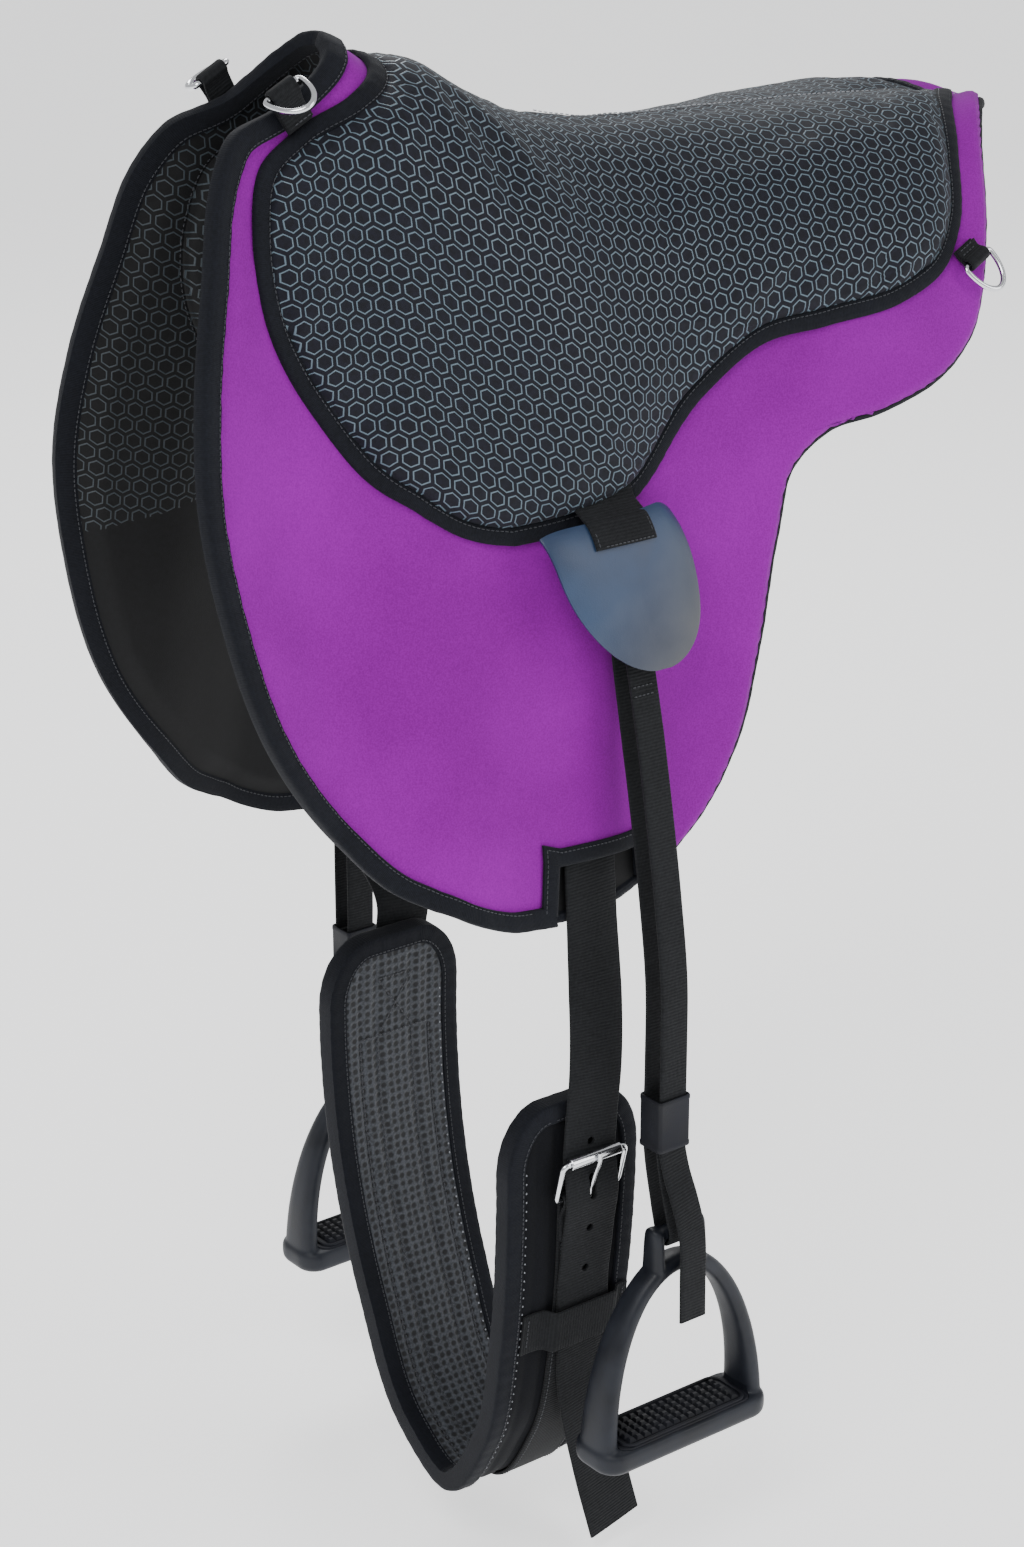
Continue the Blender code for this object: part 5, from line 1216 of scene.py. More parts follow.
# Flaps.  Smooth leather, cut round below, that hangs over each hanger.  A patch of webbing
# holds its top edge; the patch's root under the seat stays on the pad when the flap lifts.
def hide(name):
    """Finished leather: pebbled grain, a blue-grey sheen and brown where it is rubbed."""
    material, tree, shader = finish(name, 0.40, Coat_Weight=0.08, Coat_Roughness=0.30)
    where = object_place(tree)
    split = node(tree, "ShaderNodeSeparateXYZ", [(0, where)])
    cloud = speckle(tree, 16.0, 5.0, where, 0.3, 0.7)
    pores = node(tree, "ShaderNodeTexVoronoi", [("Vector", where), ("Scale", 620.0)])
    grain = node(tree, "ShaderNodeTexVoronoi", [("Vector", where), ("Scale", 900.0)],
                 feature="DISTANCE_TO_EDGE")
    base = blend_colour(tree, cloud, (0.0050, 0.015, 0.044, 1), (0.019, 0.046, 0.104, 1))
    low = sums(tree, "MULTIPLY_ADD", split.outputs[2], -9.0, -2.15)
    low = sums(tree, "MULTIPLY_ADD", split.outputs[0], 8.0, low)
    rub = remap(tree, sums(tree, "MULTIPLY_ADD", cloud, 0.5, low), (1, -0.15), (2, 0.75),
                (4, 0.75))
    tree.links.new(blend_colour(tree, rub, base, (0.082, 0.075, 0.062, 1)),
                   shader.inputs["Base Color"])
    tree.links.new(remap(tree, cloud, (3, 0.34), (4, 0.52)), shader.inputs["Roughness"])
    creased = relief(tree, shader, grain.outputs[0], 0.00030, 0.35)
    relief(tree, shader, pores.outputs[0], 0.00012, 0.3, creased)
    return material


LEATHER = hide("leather")
FLAP_TOP = -0.206
FLAP_DROP = 0.098
FLAP_HALF = 0.054
FLAP_X = -0.073
FLAP_SWEEP = 0.023
FLAP_Y = 0.1285
FLAP_THICK = 0.0026
PATCH_X = -0.067
PATCH_HALF = 0.025
PATCH_DROP = 0.0150


def flap_out(x, drop):
    """Distance of the flap from the middle plane, round over the strap that it covers."""
    across = np.abs(x - FLAP_X - FLAP_SWEEP * drop / FLAP_DROP) / FLAP_HALF
    swell_out = 0.0115 * (1 - np.exp(-drop / 0.012)) + 0.20 * drop
    curl = 0.0016 * np.exp(-((drop - 0.070) / 0.022) ** 2) * np.sin(across * 2.6)
    return FLAP_Y + swell_out - 0.007 * across ** 3 * (0.3 + 0.7 * drop / FLAP_DROP) + curl


for side, sign in SIDES:
    bm = bmesh.new()
    bmesh.ops.create_grid(bm, x_segments=56, y_segments=56, size=1.0)
    for vert in bm.verts:
        u, w = vert.co.x, (1 - vert.co.y) / 2
        v = 1 - (1 - w) ** 1.7
        half = FLAP_HALF * (1 - (max(v - 0.22, 0.0) / 0.785) ** 2.15) ** 0.5
        drop = FLAP_DROP * v
        x = FLAP_X + FLAP_SWEEP * v + half * u
        y = flap_out(x, drop)
        corner = 0.0055 * max(u, 0.0) ** 1.5 - 0.004 * max(-u, 0.0) ** 6
        corner -= 0.0090 * (max(u - 0.72, 0.0) / 0.28) ** 2
        vert.co = (x, sign * (y + FLAP_THICK), FLAP_TOP - drop + corner * (1 - v))
    flap = finish_piece("flap_leather_" + side, bm, LEATHER, lambda p: Vector((0, sign, 0)))
    thicken(flap, FLAP_THICK - 0.0002)
    edge = flap.modifiers.new("raw_edge", "BEVEL")
    edge.width = 0.0006
    edge.segments = 2
    edge.limit_method = "ANGLE"
    edge.angle_limit = math.radians(60)
    put(flap, "flap_" + side, "leather", "leather_flap_" + side)

    drops = np.linspace(0.0012, PATCH_DROP, 14)
    middle_line = [(PATCH_X, sign * (flap_out(PATCH_X, d) + FLAP_THICK
                                     + GAP + WEB / 2), FLAP_TOP - d) for d in drops]
    under_seat = on_back(PATCH_X, sign * np.array([flank_at(PATCH_X, FLAP_TOP + up)
                                                   for up in (0.0170, 0.0110, 0.0055)]),
                         np.array((0.0016, 0.0036, 0.0064)))
    middle_line = list(under_seat) + middle_line
    drops = np.concatenate([[0.0012] * 3, drops])
    rings = strap_rings(middle_line, (1.0, 0, 0), 2 * PATCH_HALF, WEB)
    for ring, d in zip(rings, drops):
        ring[:, 1] += sign * (flap_out(ring[:, 0], d) - flap_out(PATCH_X, d))
    patch = skin("flap_patch_webbing_" + side, rings[3:], WEBBING)
    put(patch, "flap_" + side, "webbing", "flap_patch_" + side)
    put(skin("patch_root_webbing_" + side, rings[:4], WEBBING), "pad", "webbing")
    rows = []
    box_line = [(0.9, 0.12), (0.9, 0.88), (-0.9, 0.88), (-0.9, 0.12)]
    for (ua, va), (ub, vb) in zip(box_line[:-1], box_line[1:]):
        line = []
        for s in np.linspace(0, 1, 12):
            x = PATCH_X + PATCH_HALF * (ua * (1 - s) + ub * s)
            d = PATCH_DROP * (va * (1 - s) + vb * s)
            out = flap_out(x, d) + FLAP_THICK + GAP + WEB + 0.0003
            line.append((x, sign * out, FLAP_TOP - d))
        rows.append((line, (0, sign, 0)))
    stitches("flap_patch_stitches_" + side, rows, DARK_THREAD, "flap_" + side, "webbing")


# Stirrup irons.  Moulded in one piece of satin plastic: an arch that broadens to the
# base, an eye bar between two lugs on its crown, and a pan that holds the tread.
IRON_HALF_WIDTH = 0.066
IRON_RISE = 0.143
BASE_TOP = -0.146
BASE_HALF = 0.0755
BASE_OUT = 0.0235
TREAD_LENGTH = 0.120
TREAD_WIDTH = 0.040


def oval(centre, side, out, half_side, half_out, power=2.7, count=28):
    """Rounded cross-section round centre in the plane of side and out."""
    a = np.linspace(0, 2 * math.pi, count, endpoint=False)
    s = np.sign(np.cos(a)) * np.abs(np.cos(a)) ** (2 / power) * half_side
    o = np.sign(np.sin(a)) * np.abs(np.sin(a)) ** (2 / power) * half_out
    return centre + np.outer(s, side) + np.outer(o, out)


def baked(piece):
    """Applies a piece's modifiers to its mesh."""
    made = bpy.data.meshes.new_from_object(
        piece.evaluated_get(bpy.context.evaluated_depsgraph_get()))
    piece.modifiers.clear()
    piece.data = made
    return piece


for side, sign in SIDES:
    eye = strap_point(sign, 0.0, EYE_Z)
    bm = bmesh.new()
    bm.loops.layers.uv.new("pattern")
    rings = []
    for a in np.radians(np.linspace(1, 179, 72)):
        height = math.sin(a)
        centre = eye + (IRON_HALF_WIDTH * math.cos(a), 0.0,
                        BASE_TOP - 0.004 + (IRON_RISE - 0.016) * height)
        ahead = unit((-IRON_HALF_WIDTH * math.sin(a), 0, IRON_RISE * math.cos(a)))
        inward = np.cross(ahead, (0, 1.0, 0))
        thick = 0.0076 - 0.0016 * height
        depth = 0.0168 - 0.0068 * min(height * 1.15, 1.0)
        rings.append(oval(centre, inward, np.array((0, 1.0, 0)), thick, depth))
    wrap_rings(bm, np.array(rings))
    wrap_rings(bm, np.array([pill(BASE_HALF - grow, BASE_OUT - grow, 0.016 - grow, z, eye)
                             for grow, z in ((0.006, -0.1630), (0.0025, -0.1618),
                                             (0.0005, -0.1590), (0.0, -0.1560),
                                             (0.0, -0.1500), (0.0008, -0.1472),
                                             (0.0028, -0.1460))]))
    wrap_rings(bm, np.array([oval(eye + (x, 0, 0), np.array((0, 1.0, 0)),
                                  np.array((0, 0, 1.0)), EYE_BAR, EYE_BAR, 2.0)
                             for x in np.linspace(-0.0225, 0.0225, 12)]))
    for place in (-0.0185, 0.0185):
        wrap_rings(bm, np.array([oval(eye + (place, 0, z), np.array((1.0, 0, 0)),
                                      np.array((0, 1.0, 0)), 0.0047, half)
                                 for z, half in ((-0.0240, 0.0100), (-0.0140, 0.0094),
                                                 (-0.0040, 0.0087), (0.0035, 0.0074),
                                                 (0.0060, 0.0052), (0.0067, 0.0030))]))
    bmesh.ops.recalc_face_normals(bm, faces=bm.faces)
    iron = finish_piece("iron_moulding_" + side, bm, PLASTIC)
    fused = iron.modifiers.new("fused", "REMESH")
    fused.mode = "VOXEL"
    fused.voxel_size = 0.0013
    soft = iron.modifiers.new("soft", "SMOOTH")
    soft.factor = 0.5
    soft.iterations = 7
    pan_rings = np.array([pill(TREAD_LENGTH / 2 + GAP, TREAD_WIDTH / 2 + GAP, 0.010, z, eye)
                          for z in (BASE_TOP - 0.007, BASE_TOP + 0.0056)])
    pan = skin("pan_cutter_" + side, pan_rings, PLASTIC)
    hollow = iron.modifiers.new("pan", "BOOLEAN")
    hollow.object = pan
    hollow.operation = "DIFFERENCE"
    baked(iron)
    bpy.data.objects.remove(pan)
    iron.data.materials.clear()
    iron.data.materials.append(PLASTIC)
    iron.data.shade_smooth()
    iron.data.set_sharp_from_angle(angle=math.radians(40))
    put(iron, "stirrup_" + side, "stirrup_plastic", "stirrup_iron_" + side)

    # The tread is a separate rubber pad: pyramid studs inside a raised rib.
    bm = bmesh.new()
    low = BASE_TOP - 0.007 + GAP
    high = BASE_TOP + 0.0010
    wrap_rings(bm, np.array([pill(TREAD_LENGTH / 2 - g, TREAD_WIDTH / 2 - g, 0.010 - g, z, eye)
                             for g, z in ((0, low), (0, high - 0.001), (0.0006, high),
                                          (0.0024, high))]))
    studs = bmesh.ops.create_grid(bm, x_segments=15, y_segments=5, size=1.0)["verts"]
    for vert in studs:
        vert.co = Vector(eye) + Vector((vert.co.x * 0.0500, vert.co.y * 0.0145, high + 0.0003))
    cells = list({f for v in studs for f in v.link_faces})
    for inset, rise in ((0.0006, 0.0008), (0.0019, 0.0016)):
        bmesh.ops.inset_individual(bm, faces=cells, thickness=inset)
        for cell in cells:
            for vert in cell.verts:
                vert.co.z += rise
    rib_path = np.array(pill(0.0548, 0.0176, 0.0080, high + 0.0004, eye))
    wrap_rings(bm, wire_rings(rib_path, 0.0014, (0, 0, 1.0), sides=8), closed=True)
    bmesh.ops.recalc_face_normals(bm, faces=bm.faces)
    tread = finish_piece("tread_pad_" + side, bm, RUBBER, auto=30.0)
    put(tread, "stirrup_" + side, "tread_rubber", "stirrup_tread_" + side)


# Girth.  A padded band under the belly: black outer cloth, foam, and a spacer-mesh lining
# against the horse, bound all round with tape and stitched in long parallel lines.
GIRTH_LINE = [(-0.1340, -0.607), (-0.1345, -0.690), (-0.1275, -0.780), (-0.1060, -0.870),
              (-0.0640, -0.922), (-0.0180, -0.896), (0.0260, -0.810), (0.0530, -0.710),
              (0.0600, -0.630), (0.0570, -0.548)]
GIRTH_X = -0.110
GIRTH_DRIFT = 0.005
GIRTH_WIDTH = 0.108
GIRTH_FOAM = 0.0080
GIRTH_SKIN = 0.0016
GIRTH_MESH = 0.0026
GIRTH_TAPE = 0.012
BUCKLE_X = -0.098
GIRTH_WEB_WIDTH = 0.045
GIRTH_OUT = GIRTH_FOAM / 2 + GAP + GIRTH_SKIN
girth_curve = smooth_curve(GIRTH_LINE, np.linspace(0, 1, 600))
girth_run = run_along(girth_curve)
LENGTH = girth_run[-1]
girth_ahead = unit(np.gradient(girth_curve, axis=0))


def on_girth(s, across, height):
    """Points on the girth: metres along it, metres across it, height over its middle."""
    s, across, height = np.broadcast_arrays(*[np.asarray(v, float)
                                              for v in (s, across, height)])
    inside = np.clip(s, 0.0, LENGTH)
    y = np.interp(inside, girth_run, girth_curve[:, 0])
    z = np.interp(inside, girth_run, girth_curve[:, 1])
    ay = np.interp(inside, girth_run, girth_ahead[:, 0])
    az = np.interp(inside, girth_run, girth_ahead[:, 1])
    y = y + ay * (s - inside) + az * height
    z = z + az * (s - inside) - ay * height
    x = GIRTH_X + GIRTH_DRIFT * (1 - 2 * s / LENGTH) + across
    return np.stack([x, y, z], axis=-1)


def girth_half(s, inset=0.0):
    """Half width along the girth: rounded ends and a slight waist in the middle."""
    middle = np.abs(s / LENGTH - 0.5) * 2
    waist = 0.004 * np.cos(math.pi * np.minimum(middle, 1.0) / 2) ** 2
    end = np.clip((1 - middle) * LENGTH / 2 - inset, 0.0, 0.045)
    cut_in = 0.033 * (1 - np.sqrt(np.clip(1 - (1 - end / 0.045) ** 2, 0.0, 1.0)))
    return GIRTH_WIDTH / 2 - waist - cut_in - inset


def girth_outline(count=520):
    """Outline of the girth as an even loop of metres along and across, with normals."""
    w = (1 - np.cos(np.linspace(0, math.pi, 300))) / 2 * LENGTH
    left = np.column_stack([w, -girth_half(w)])
    right = np.column_stack([w, girth_half(w)])[::-1]
    loop = np.vstack([left, right, left[:1]])
    return even_loop(loop, count)


def spacer_mesh(name):
    """Spacer mesh: round open cells in rows, each with a raised rim and a hole painted dark as
    shade.
    """
    material, tree, shader = finish(name, 0.85, Sheen_Weight=0.15)
    uv = node(tree, "ShaderNodeUVMap", uv_map="pattern").outputs[0]
    cells = node(tree, "ShaderNodeTexVoronoi", [("Vector", uv), ("Scale", 165.0),
                                                ("Randomness", 0.15)])
    hole = remap(tree, cells.outputs[0], (1, 0.24), (2, 0.46))
    fuzz = speckle(tree, 600.0, 3.0)
    rim = blend_colour(tree, fuzz, (0.022, 0.025, 0.031, 1), (0.056, 0.062, 0.074, 1))
    # Each hole is painted near black: painted shade in the open cell, inside a rim of the mesh's
    # own grey.
    tree.links.new(blend_colour(tree, hole, (0.0026, 0.0030, 0.0042, 1), rim),
                   shader.inputs["Base Color"])
    pit = relief(tree, shader, hole, 0.0007, 0.8)
    relief(tree, shader, fuzz, 0.00015, 0.5, pit)
    return material


MESH_CLOTH = spacer_mesh("air_mesh")
girth_rim, girth_rim_out, girth_rim_at = girth_outline()
girth_rim_near = near_to(girth_rim)


def girth_place(inset):
    def place(u, v):
        w = (v + 1) / 2
        w = w - 0.11 * np.sin(2 * math.pi * w) / (2 * math.pi) * 6.0
        s = inset + np.clip(w, 0, 1) * (LENGTH - 2 * inset)
        return s, (2 * u - 1) * girth_half(s, inset)
    return place


def girth_sheet(name, columns, rows, height, material, facing):
    bm = flat_pattern(columns, rows, girth_place(0.0008))
    flat = keep_pattern(bm)
    points = on_girth(flat[:, 0], flat[:, 1], height(flat[:, 0], flat[:, 1]))
    away = on_girth(flat[:, 0], flat[:, 1], 1.0) - on_girth(flat[:, 0], flat[:, 1], 0.0)
    for vert, point in zip(bm.verts, points):
        vert.co = point
    bm.normal_update()
    score = sum(v.normal.dot(Vector(a)) for v, a in zip(bm.verts, away))
    if score * facing < 0:
        bmesh.ops.reverse_faces(bm, faces=bm.faces)
    return finish_piece(name, bm, material)


def girth_face(out):
    """Soft face of the girth: full between its edge and the long stitched lines."""
    def height(s, across):
        gap, _ = girth_rim_near(s, across)
        full = np.sqrt(1 - (1 - np.clip((gap - 0.008) / 0.014, 0, 1)) ** 2)
        lines = sum(np.exp(-((np.abs(across) - w) / 0.0026) ** 2) for w in (0.0150, 0.0300))
        lines = lines * np.clip((gap - 0.014) / 0.004, 0, 1)
        puff = 0.0016 * full - 0.0016 * lines + 0.0003 * ripple(s, across, 0.030, 6.0)
        if out:
            return GIRTH_OUT - 0.0014 + puff * 0.8
        return -(GIRTH_FOAM / 2 + GAP + GIRTH_MESH) + 0.0008 - puff
    return height


outer = girth_sheet("girth_outer_cloth", 40, 240, girth_face(True), BLACK_CLOTH, 1)
thicken(outer, GIRTH_SKIN)
put(outer, "girth", "black_neoprene", "girth_outer", "girth_foam")
inner = girth_sheet("girth_mesh_cloth", 40, 240, girth_face(False), MESH_CLOTH, -1)
thicken(inner, 0.0020)
put(inner, "girth", "air_mesh", "girth_mesh_liner")

high = GIRTH_OUT + GAP
low = -GIRTH_FOAM / 2 - 2 * GAP - GIRTH_MESH
fold = [(GIRTH_TAPE, high - 0.0012), (GIRTH_TAPE - 0.0006, high + TAPE - 0.0002)]
fold += stroke((GIRTH_TAPE - 0.0012, high + TAPE), (0.0012, high + TAPE), 4)
fold += [(-0.0004, high + TAPE - 0.0004), (-0.0020, high + 0.0002)]
fold += stroke((-0.0023, high - 0.0014), (-0.0023, low + 0.0014), 4)
fold += [(-0.0020, low - 0.0004), (-0.0002, low - TAPE + 0.0003)]
fold += stroke((0.0012, low - TAPE), (GIRTH_TAPE - 0.0012, low - TAPE), 4)
fold += [(GIRTH_TAPE - 0.0006, low - TAPE + 0.0002), (GIRTH_TAPE, low + 0.0010)]
sections = []
for run in girth_rim_at:
    fine = 0.0002 * math.sin(run * 560.0) + 0.0001 * math.sin(run * 211.0)
    sections.append([(inset, h + (fine if h > 0 else -fine)) for inset, h in fold])
girth_tape = tape_hoop("girth_edge_tape", girth_rim, girth_rim_out, on_girth, sections,
                       TAPE_CLOTH)
put(girth_tape, "girth", "binding_tape", "girth_binding")


def on_girth_row(points, height, out=1.0):
    s, across = np.asarray(points).T
    spot = on_girth(s, across, height)
    return spot, (on_girth(s, across, np.asarray(height) + 0.01) - spot) * out


seam = girth_rim - girth_rim_out * 0.0095
rows = [on_girth_row(seam, high + TAPE + 0.0002), on_girth_row(seam, low - TAPE - 0.0002, -1.0)]
stitches("girth_edge_stitches", rows, DARK_THREAD, "girth", "binding_tape")
rows = []
inner_low = -(GIRTH_FOAM / 2 + GAP + GIRTH_MESH) + 0.0008
for w in (-0.0300, -0.0150, 0.0150, 0.0300):
    line = [(s, w) for s in np.linspace(0.075, LENGTH - 0.075, 120)]
    rows.append(on_girth_row(line, inner_low - 0.0006, -1.0))
for end in (0.030, LENGTH - 0.030):
    far = 0.075 if end < 0.1 else LENGTH - 0.075
    for a, b in (((end, -0.0150), (far, 0.0150)), ((end, 0.0150), (far, -0.0150)),
                 ((end, -0.0150), (end, 0.0150)), ((far, -0.0300), (far, 0.0300))):
        line = [tuple(np.array(a) * (1 - q) + np.array(b) * q) for q in np.linspace(0, 1, 16)]
        rows.append(on_girth_row(line, inner_low - 0.0021, -1.0))
stitches("girth_mesh_stitches", rows, DARK_THREAD, "girth", "air_mesh", pitch=0.0036,
         long=0.0034, thick=0.0013)
s = np.linspace(0.040, LENGTH - 0.040, 160)
rows = [on_girth_row(np.column_stack([s, girth_half(s) - 0.0135]), inner_low - 0.0015, -1.0),
        on_girth_row(np.column_stack([s, 0.0135 - girth_half(s)]), GIRTH_OUT, 1.0)]
stitches("girth_light_stitches", rows, SILVER_THREAD, "girth", "air_mesh", pitch=0.0068,
         long=0.0016, thick=0.0012)


# Girth webbing and buckles.  45 mm webbing sewn along the outside of the girth and folded
# at each end round the bar of a roller buckle: frame, turning roller and prong.
BAR = 0.0022
ROLLER = 0.0042
BUCKLE_RISE = 0.030
BAR_INSET = 0.068
WEB_HIGH = GIRTH_OUT + 2 * GAP + WEB / 2
LOOP_TURN = BAR + GAP + WEB / 2
BAR_OUT = WEB_HIGH + LOOP_TURN
STRAP_OVER_BAR = BAR_OUT + LOOP_TURN + WEB + GAP
STRAP_UNDER_ROLLER = 0.0135
PRONG = 0.0026
X_AXIS = np.array((1.0, 0.0, 0.0))


def bar_frame(near):
    """Pivot bar of a buckle, with directions outwards and towards the girth's end."""
    s = BAR_INSET if near else LENGTH - BAR_INSET
    point = on_girth(s, 0.0, 0.0)
    out = on_girth(s, 0.0, 1.0) - point
    along = unit(on_girth(s + 0.001, 0.0, 0.0) * (0, 1, 1) - on_girth(s - 0.001, 0.0, 0.0)
                 * (0, 1, 1))
    bar = point + out * BAR_OUT
    bar[0] = BUCKLE_X
    return bar, out, (-along if near else along)


folds = []
for near in (True, False):
    bar, out, away = bar_frame(near)
    lift = WEB_HIGH + WEB + GAP - BAR_OUT
    fold = [bar - away * back + out * lift for back in (0.032, 0.026, 0.012)]
    fold += [bar + out * (LOOP_TURN * math.cos(a)) + away * (LOOP_TURN * math.sin(a))
             for a in np.linspace(0, math.pi, 9)]
    folds.append(fold)
path = list(folds[0])
for s in np.linspace(BAR_INSET + 0.006, LENGTH - BAR_INSET - 0.006, 60):
    point = on_girth(s, 0.0, WEB_HIGH + 0.0003)
    point[0] = BUCKLE_X
    path.append(point)
path += folds[1][::-1]
webbing = skin("girth_long_webbing", strap_rings(even_path(path, 0.0022), X_AXIS,
                                                GIRTH_WEB_WIDTH, WEB), WEBBING)


def punched(piece, cutters):
    """Cuts the cutters out of the piece for good."""
    for cutter in cutters:
        change = piece.modifiers.new("cut", "BOOLEAN")
        change.object = cutter
        change.operation = "DIFFERENCE"
    name = piece.data.materials[0]
    baked(piece)
    for cutter in cutters:
        bpy.data.objects.remove(cutter)
    piece.data.materials.clear()
    piece.data.materials.append(name)
    piece.data.set_sharp_from_angle(angle=math.radians(60))
    return piece


slots = []
for near in (True, False):
    bar, out, away = bar_frame(near)
    rings = [[bar + X_AXIS * x + out * o + away * s
              for o, s in ((-0.0018, -0.0085), (-0.0018, 0.0080), (0.0070, 0.0080),
                           (0.0070, -0.0085))] for x in (-0.0027, 0.0027)]
    slots.append(skin("prong_slot_cutter_%d" % near, rings, WEBBING))
put(punched(webbing, slots), "girth", "webbing", "girth_webbing")
rows = []
for w in (-0.0195, 0.0195):
    line = np.array([on_girth(s, 0.0, WEB_HIGH + WEB / 2 + 0.0005)
                     for s in np.linspace(0.085, LENGTH - 0.085, 120)])
    line[:, 0] = BUCKLE_X + w
    outs = np.array([on_girth(s, 0.0, 1.0) - on_girth(s, 0.0, 0.0)
                     for s in np.linspace(0.085, LENGTH - 0.085, 120)])
    rows.append((line, outs))
stitches("girth_webbing_stitches", rows, DARK_THREAD, "girth", "webbing")

for side, near in (("near", True), ("off", False)):
    bar, out, away = bar_frame(near)
    over = STRAP_UNDER_ROLLER + WEB / 2 + GAP + ROLLER - BAR_OUT
    roller = bar + away * BUCKLE_RISE + out * over
    rise = roller - bar
    up = unit(rise)
    length = np.linalg.norm(rise)
    half = GIRTH_WEB_WIDTH / 2 + 0.0045
    path = []
    for sx, top, first in ((1, 0, -90), (1, 1, 0), (-1, 1, 90), (-1, 0, 180)):
        mid = bar + X_AXIS * (sx * (half - 0.004)) + up * (length - 0.004 if top else 0.004)
        for a in np.radians(np.linspace(first, first + 90, 8)):
            path.append(mid + X_AXIS * (0.004 * math.cos(a)) + up * (0.004 * math.sin(a)))
    frame_wire = skin("buckle_wire_" + side,
                      wire_rings(path, BAR, unit(np.cross(up, X_AXIS)), sides=16), CHROME,
                      closed=True)
    put(frame_wire, "girth", "chrome", "buckle_frame_" + side)

    face = unit(np.cross(up, X_AXIS))
    reach = GIRTH_WEB_WIDTH / 2 - 0.001
    section = [(ROLLER - 0.0004, reach), (ROLLER, reach - 0.0005), (ROLLER, -reach + 0.0005),
               (ROLLER - 0.0004, -reach), (BAR + GAP, -reach), (BAR + GAP, reach)]
    rings = [[roller + (up * math.cos(a) + face * math.sin(a)) * r + X_AXIS * x
              for r, x in section] for a in np.linspace(0, 2 * math.pi, 36, endpoint=False)]
    drum = skin("buckle_drum_" + side, rings, CHROME, closed=True, auto=35.0)
    put(drum, "roller_" + side, "chrome", "buckle_roller_" + side)

    turn = BAR + GAP + PRONG / 2
    far = (roller - bar) @ away
    height = (roller - bar) @ out + ROLLER + PRONG / 2 + GAP
    path = [(turn * math.cos(math.radians(a)), turn * math.sin(math.radians(a)))
            for a in range(-100, 1, 20)]
    path += [(turn + 0.0004, 0.003), (turn + 0.25 * (height - turn), 0.3 * far),
             (turn + 0.72 * (height - turn), 0.72 * far), (height - 0.0004, far - 0.003),
             (height, far), (height - 0.0004, far + 0.004)]
    points = even_path([bar + out * o + away * s for o, s in path], 0.0008)
    thin = np.interp(np.linspace(0, 1, len(points)), [0, 0.8, 1], [0.0036, 0.0036, 0.0026])
    prong = skin("buckle_tongue_" + side, strap_rings(points, X_AXIS, thin, PRONG), CHROME)
    put(prong, "prong_" + side, "chrome", "buckle_prong_" + side)


# Girth straps.  45 mm webbing from the lining at the cut-out, up to its binding, through
# the buckle and on under a keeper, punched with a row of holes for the prong.
GIRTH_STRAP_X = -0.084
STRAP_TOP = 0.5285
STRAP_ON_LINING = LINING_HIGH + 3 * GAP + WEB / 2
HOLE_PITCH = 0.033
HOLE = 0.0030
STRAP_AT_BUCKLE = [(0.0112, 0.078), (0.0116, 0.058), (0.0124, 0.045), (0.0135, 0.030),
                   (0.0155, 0.017), (STRAP_OVER_BAR, 0.003), (STRAP_OVER_BAR, -0.003),
                   (0.0162, -0.014), (0.0142, -0.026), (0.0118, -0.046)]


def strap_route(near):
    """Points that the middle of a girth strap passes, from the pad to its tail."""
    sign = -1 if near else 1
    points = [on_back(GIRTH_STRAP_X, sign * (STRAP_TOP + down), STRAP_ON_LINING)
              for down in (-0.018, -0.009, 0.0, 0.011, 0.022, 0.033)]
    bar, out, away = bar_frame(near)
    for height, beyond in STRAP_AT_BUCKLE:
        point = bar + out * (height - BAR_OUT) + away * beyond
        point[0] += (GIRTH_STRAP_X - BUCKLE_X) * max((beyond - 0.030) / 0.120, 0.0)
        points.append(point)
    first = (BAR_INSET + 0.070) / LENGTH
    for k in (0.0, 0.05, 0.10):
        share = first + k if near else 1 - first - k
        point = on_girth(share * LENGTH, 0.0, WEB_HIGH + WEB + 4 * GAP)
        point[0] = BUCKLE_X + 0.08 * k
        points.append(point)
    if near:
        points += [np.array((BUCKLE_X + 0.024, -0.1330, -0.905)),
                   np.array((BUCKLE_X + 0.036, -0.1370, -0.958))]
    return points


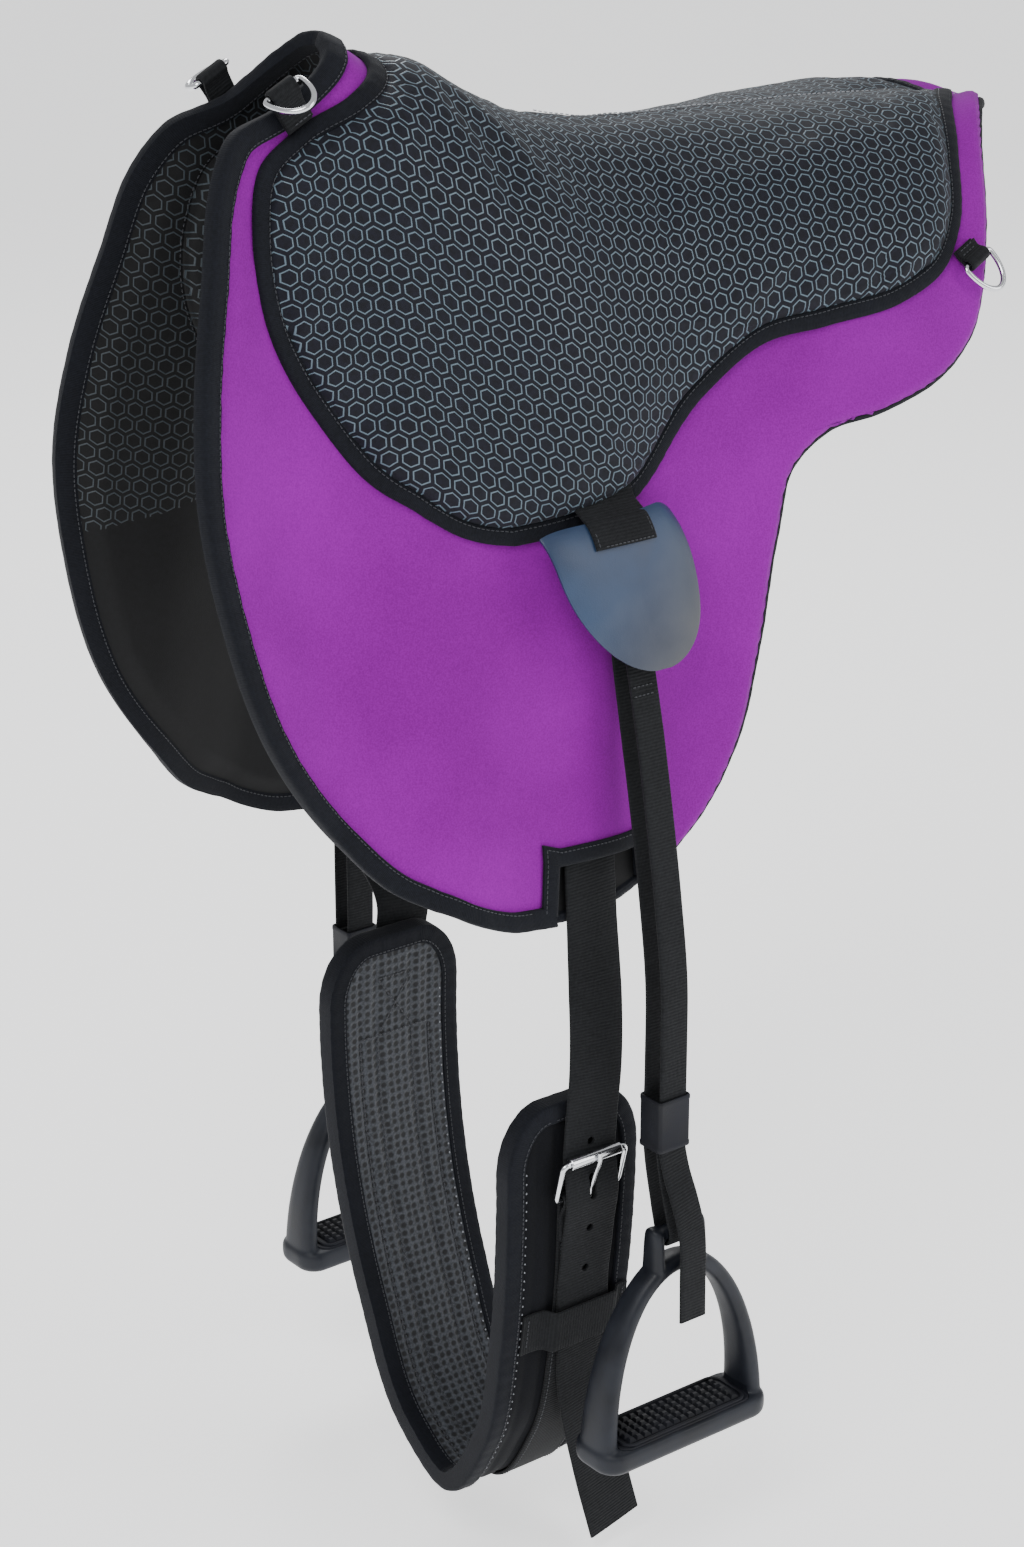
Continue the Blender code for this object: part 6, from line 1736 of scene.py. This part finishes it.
for side, near in (("near", True), ("off", False)):
    sign = -1 if near else 1
    path = even_path(strap_route(near), 0.0024)
    run = run_along(path)
    flat = pattern_frame(GIRTH_STRAP_X, STRAP_TOP + 0.02, math.pi / 2, sign)[3]
    flat = flat * math.copysign(1.0, flat[0])
    turn = np.clip((run - 0.053) / 0.050, 0.0, 1.0)[:, None]
    across = flat * (1 - turn) + X_AXIS * turn
    strap = skin("girth_strap_webbing_" + side,
                 strap_rings(path, across, GIRTH_WEB_WIDTH, WEB), WEBBING)
    bar, out, away = bar_frame(near)
    slot = bar + away * 0.0065 + out * (STRAP_OVER_BAR - 0.0004 - BAR_OUT)
    fine = np.linspace(0.0, run[-1], 3000)
    dense = along_run(fine, run, path)
    zero = fine[np.linalg.norm(dense - slot, axis=1).argmin()]
    cutters = []
    for k in range(-1, 4 if near else 2):
        at = zero + k * HOLE_PITCH
        here, before, after = [np.array([np.interp(at + d, run, c) for c in path.T])
                               for d in (0.0, -0.003, 0.003)]
        ahead = unit(after - before)
        wide = unit(X_AXIS - ahead * ahead[0])
        through = np.cross(ahead, wide)
        straight = 0.0068 if k == 0 else 0.0
        rings = [[here + through * h + wide * (HOLE * math.cos(a))
                  + ahead * (HOLE * math.sin(a) + math.copysign(straight, math.sin(a)))
                  for a in (2 * math.pi * (q + 0.5) / 24 for q in range(24))]
                 for h in (-0.005, 0.005)]
        cutters.append(skin("hole_cutter_%s_%d" % (side, k + 1), rings, WEBBING))
    put(punched(strap, cutters), "girth", "webbing", "girth_strap_" + side)


# Girth keepers.  A loop of webbing across the girth that each strap's tail runs under.
for side, share in (("near", 0.225), ("off", 0.790)):
    thick = 0.0018
    s = share * LENGTH
    middle = BUCKLE_X + 0.004
    inner = GIRTH_WEB_WIDTH / 2 + 0.0015
    flat_low = GIRTH_OUT + GAP + thick / 2
    over_tape = GIRTH_OUT + 4 * GAP + TAPE + thick / 2
    top = WEB_HIGH + 2 * WEB + 6 * GAP + thick / 2
    centre = on_girth(s, 0.0, 0.0)
    out = on_girth(s, 0.0, 1.0) - centre
    along = unit((on_girth(s + 0.001, 0, 0) - on_girth(s - 0.001, 0, 0)) * (0, 1, 1))
    left = centre[0] - float(girth_half(s)) + GIRTH_TAPE + 0.002
    right = centre[0] + float(girth_half(s)) - 0.001
    path = [(left, flat_low), (middle - inner - 0.016, flat_low),
            (middle - inner - 0.010, flat_low + 0.0014), (middle - inner - 0.005, top - 0.0006),
            (middle - inner + 0.004, top), (middle, top), (middle + inner - 0.006, top),
            (middle + inner, top - 0.0006), (middle + inner + 0.005, over_tape + 0.0006),
            (right, over_tape)]
    points = [centre * (0, 1, 1) + X_AXIS * x + out * h for x, h in path]
    loop = skin("girth_loop_webbing_" + side,
                strap_rings(even_path(points, 0.0016), along, 0.033, thick), WEBBING)
    put(loop, "girth", "webbing", "girth_keeper_" + side)
    rows = []
    for x, h in ((left + 0.004, flat_low), (right - 0.004, over_tape)):
        ends = [centre * (0, 1, 1) + X_AXIS * x + out * (h + thick / 2 + 0.0004) + along * w
                for w in (-0.0135, 0.0135)]
        rows.append((ends, out))
    stitches("girth_loop_stitches_" + side, rows, DARK_THREAD, "girth", "webbing")
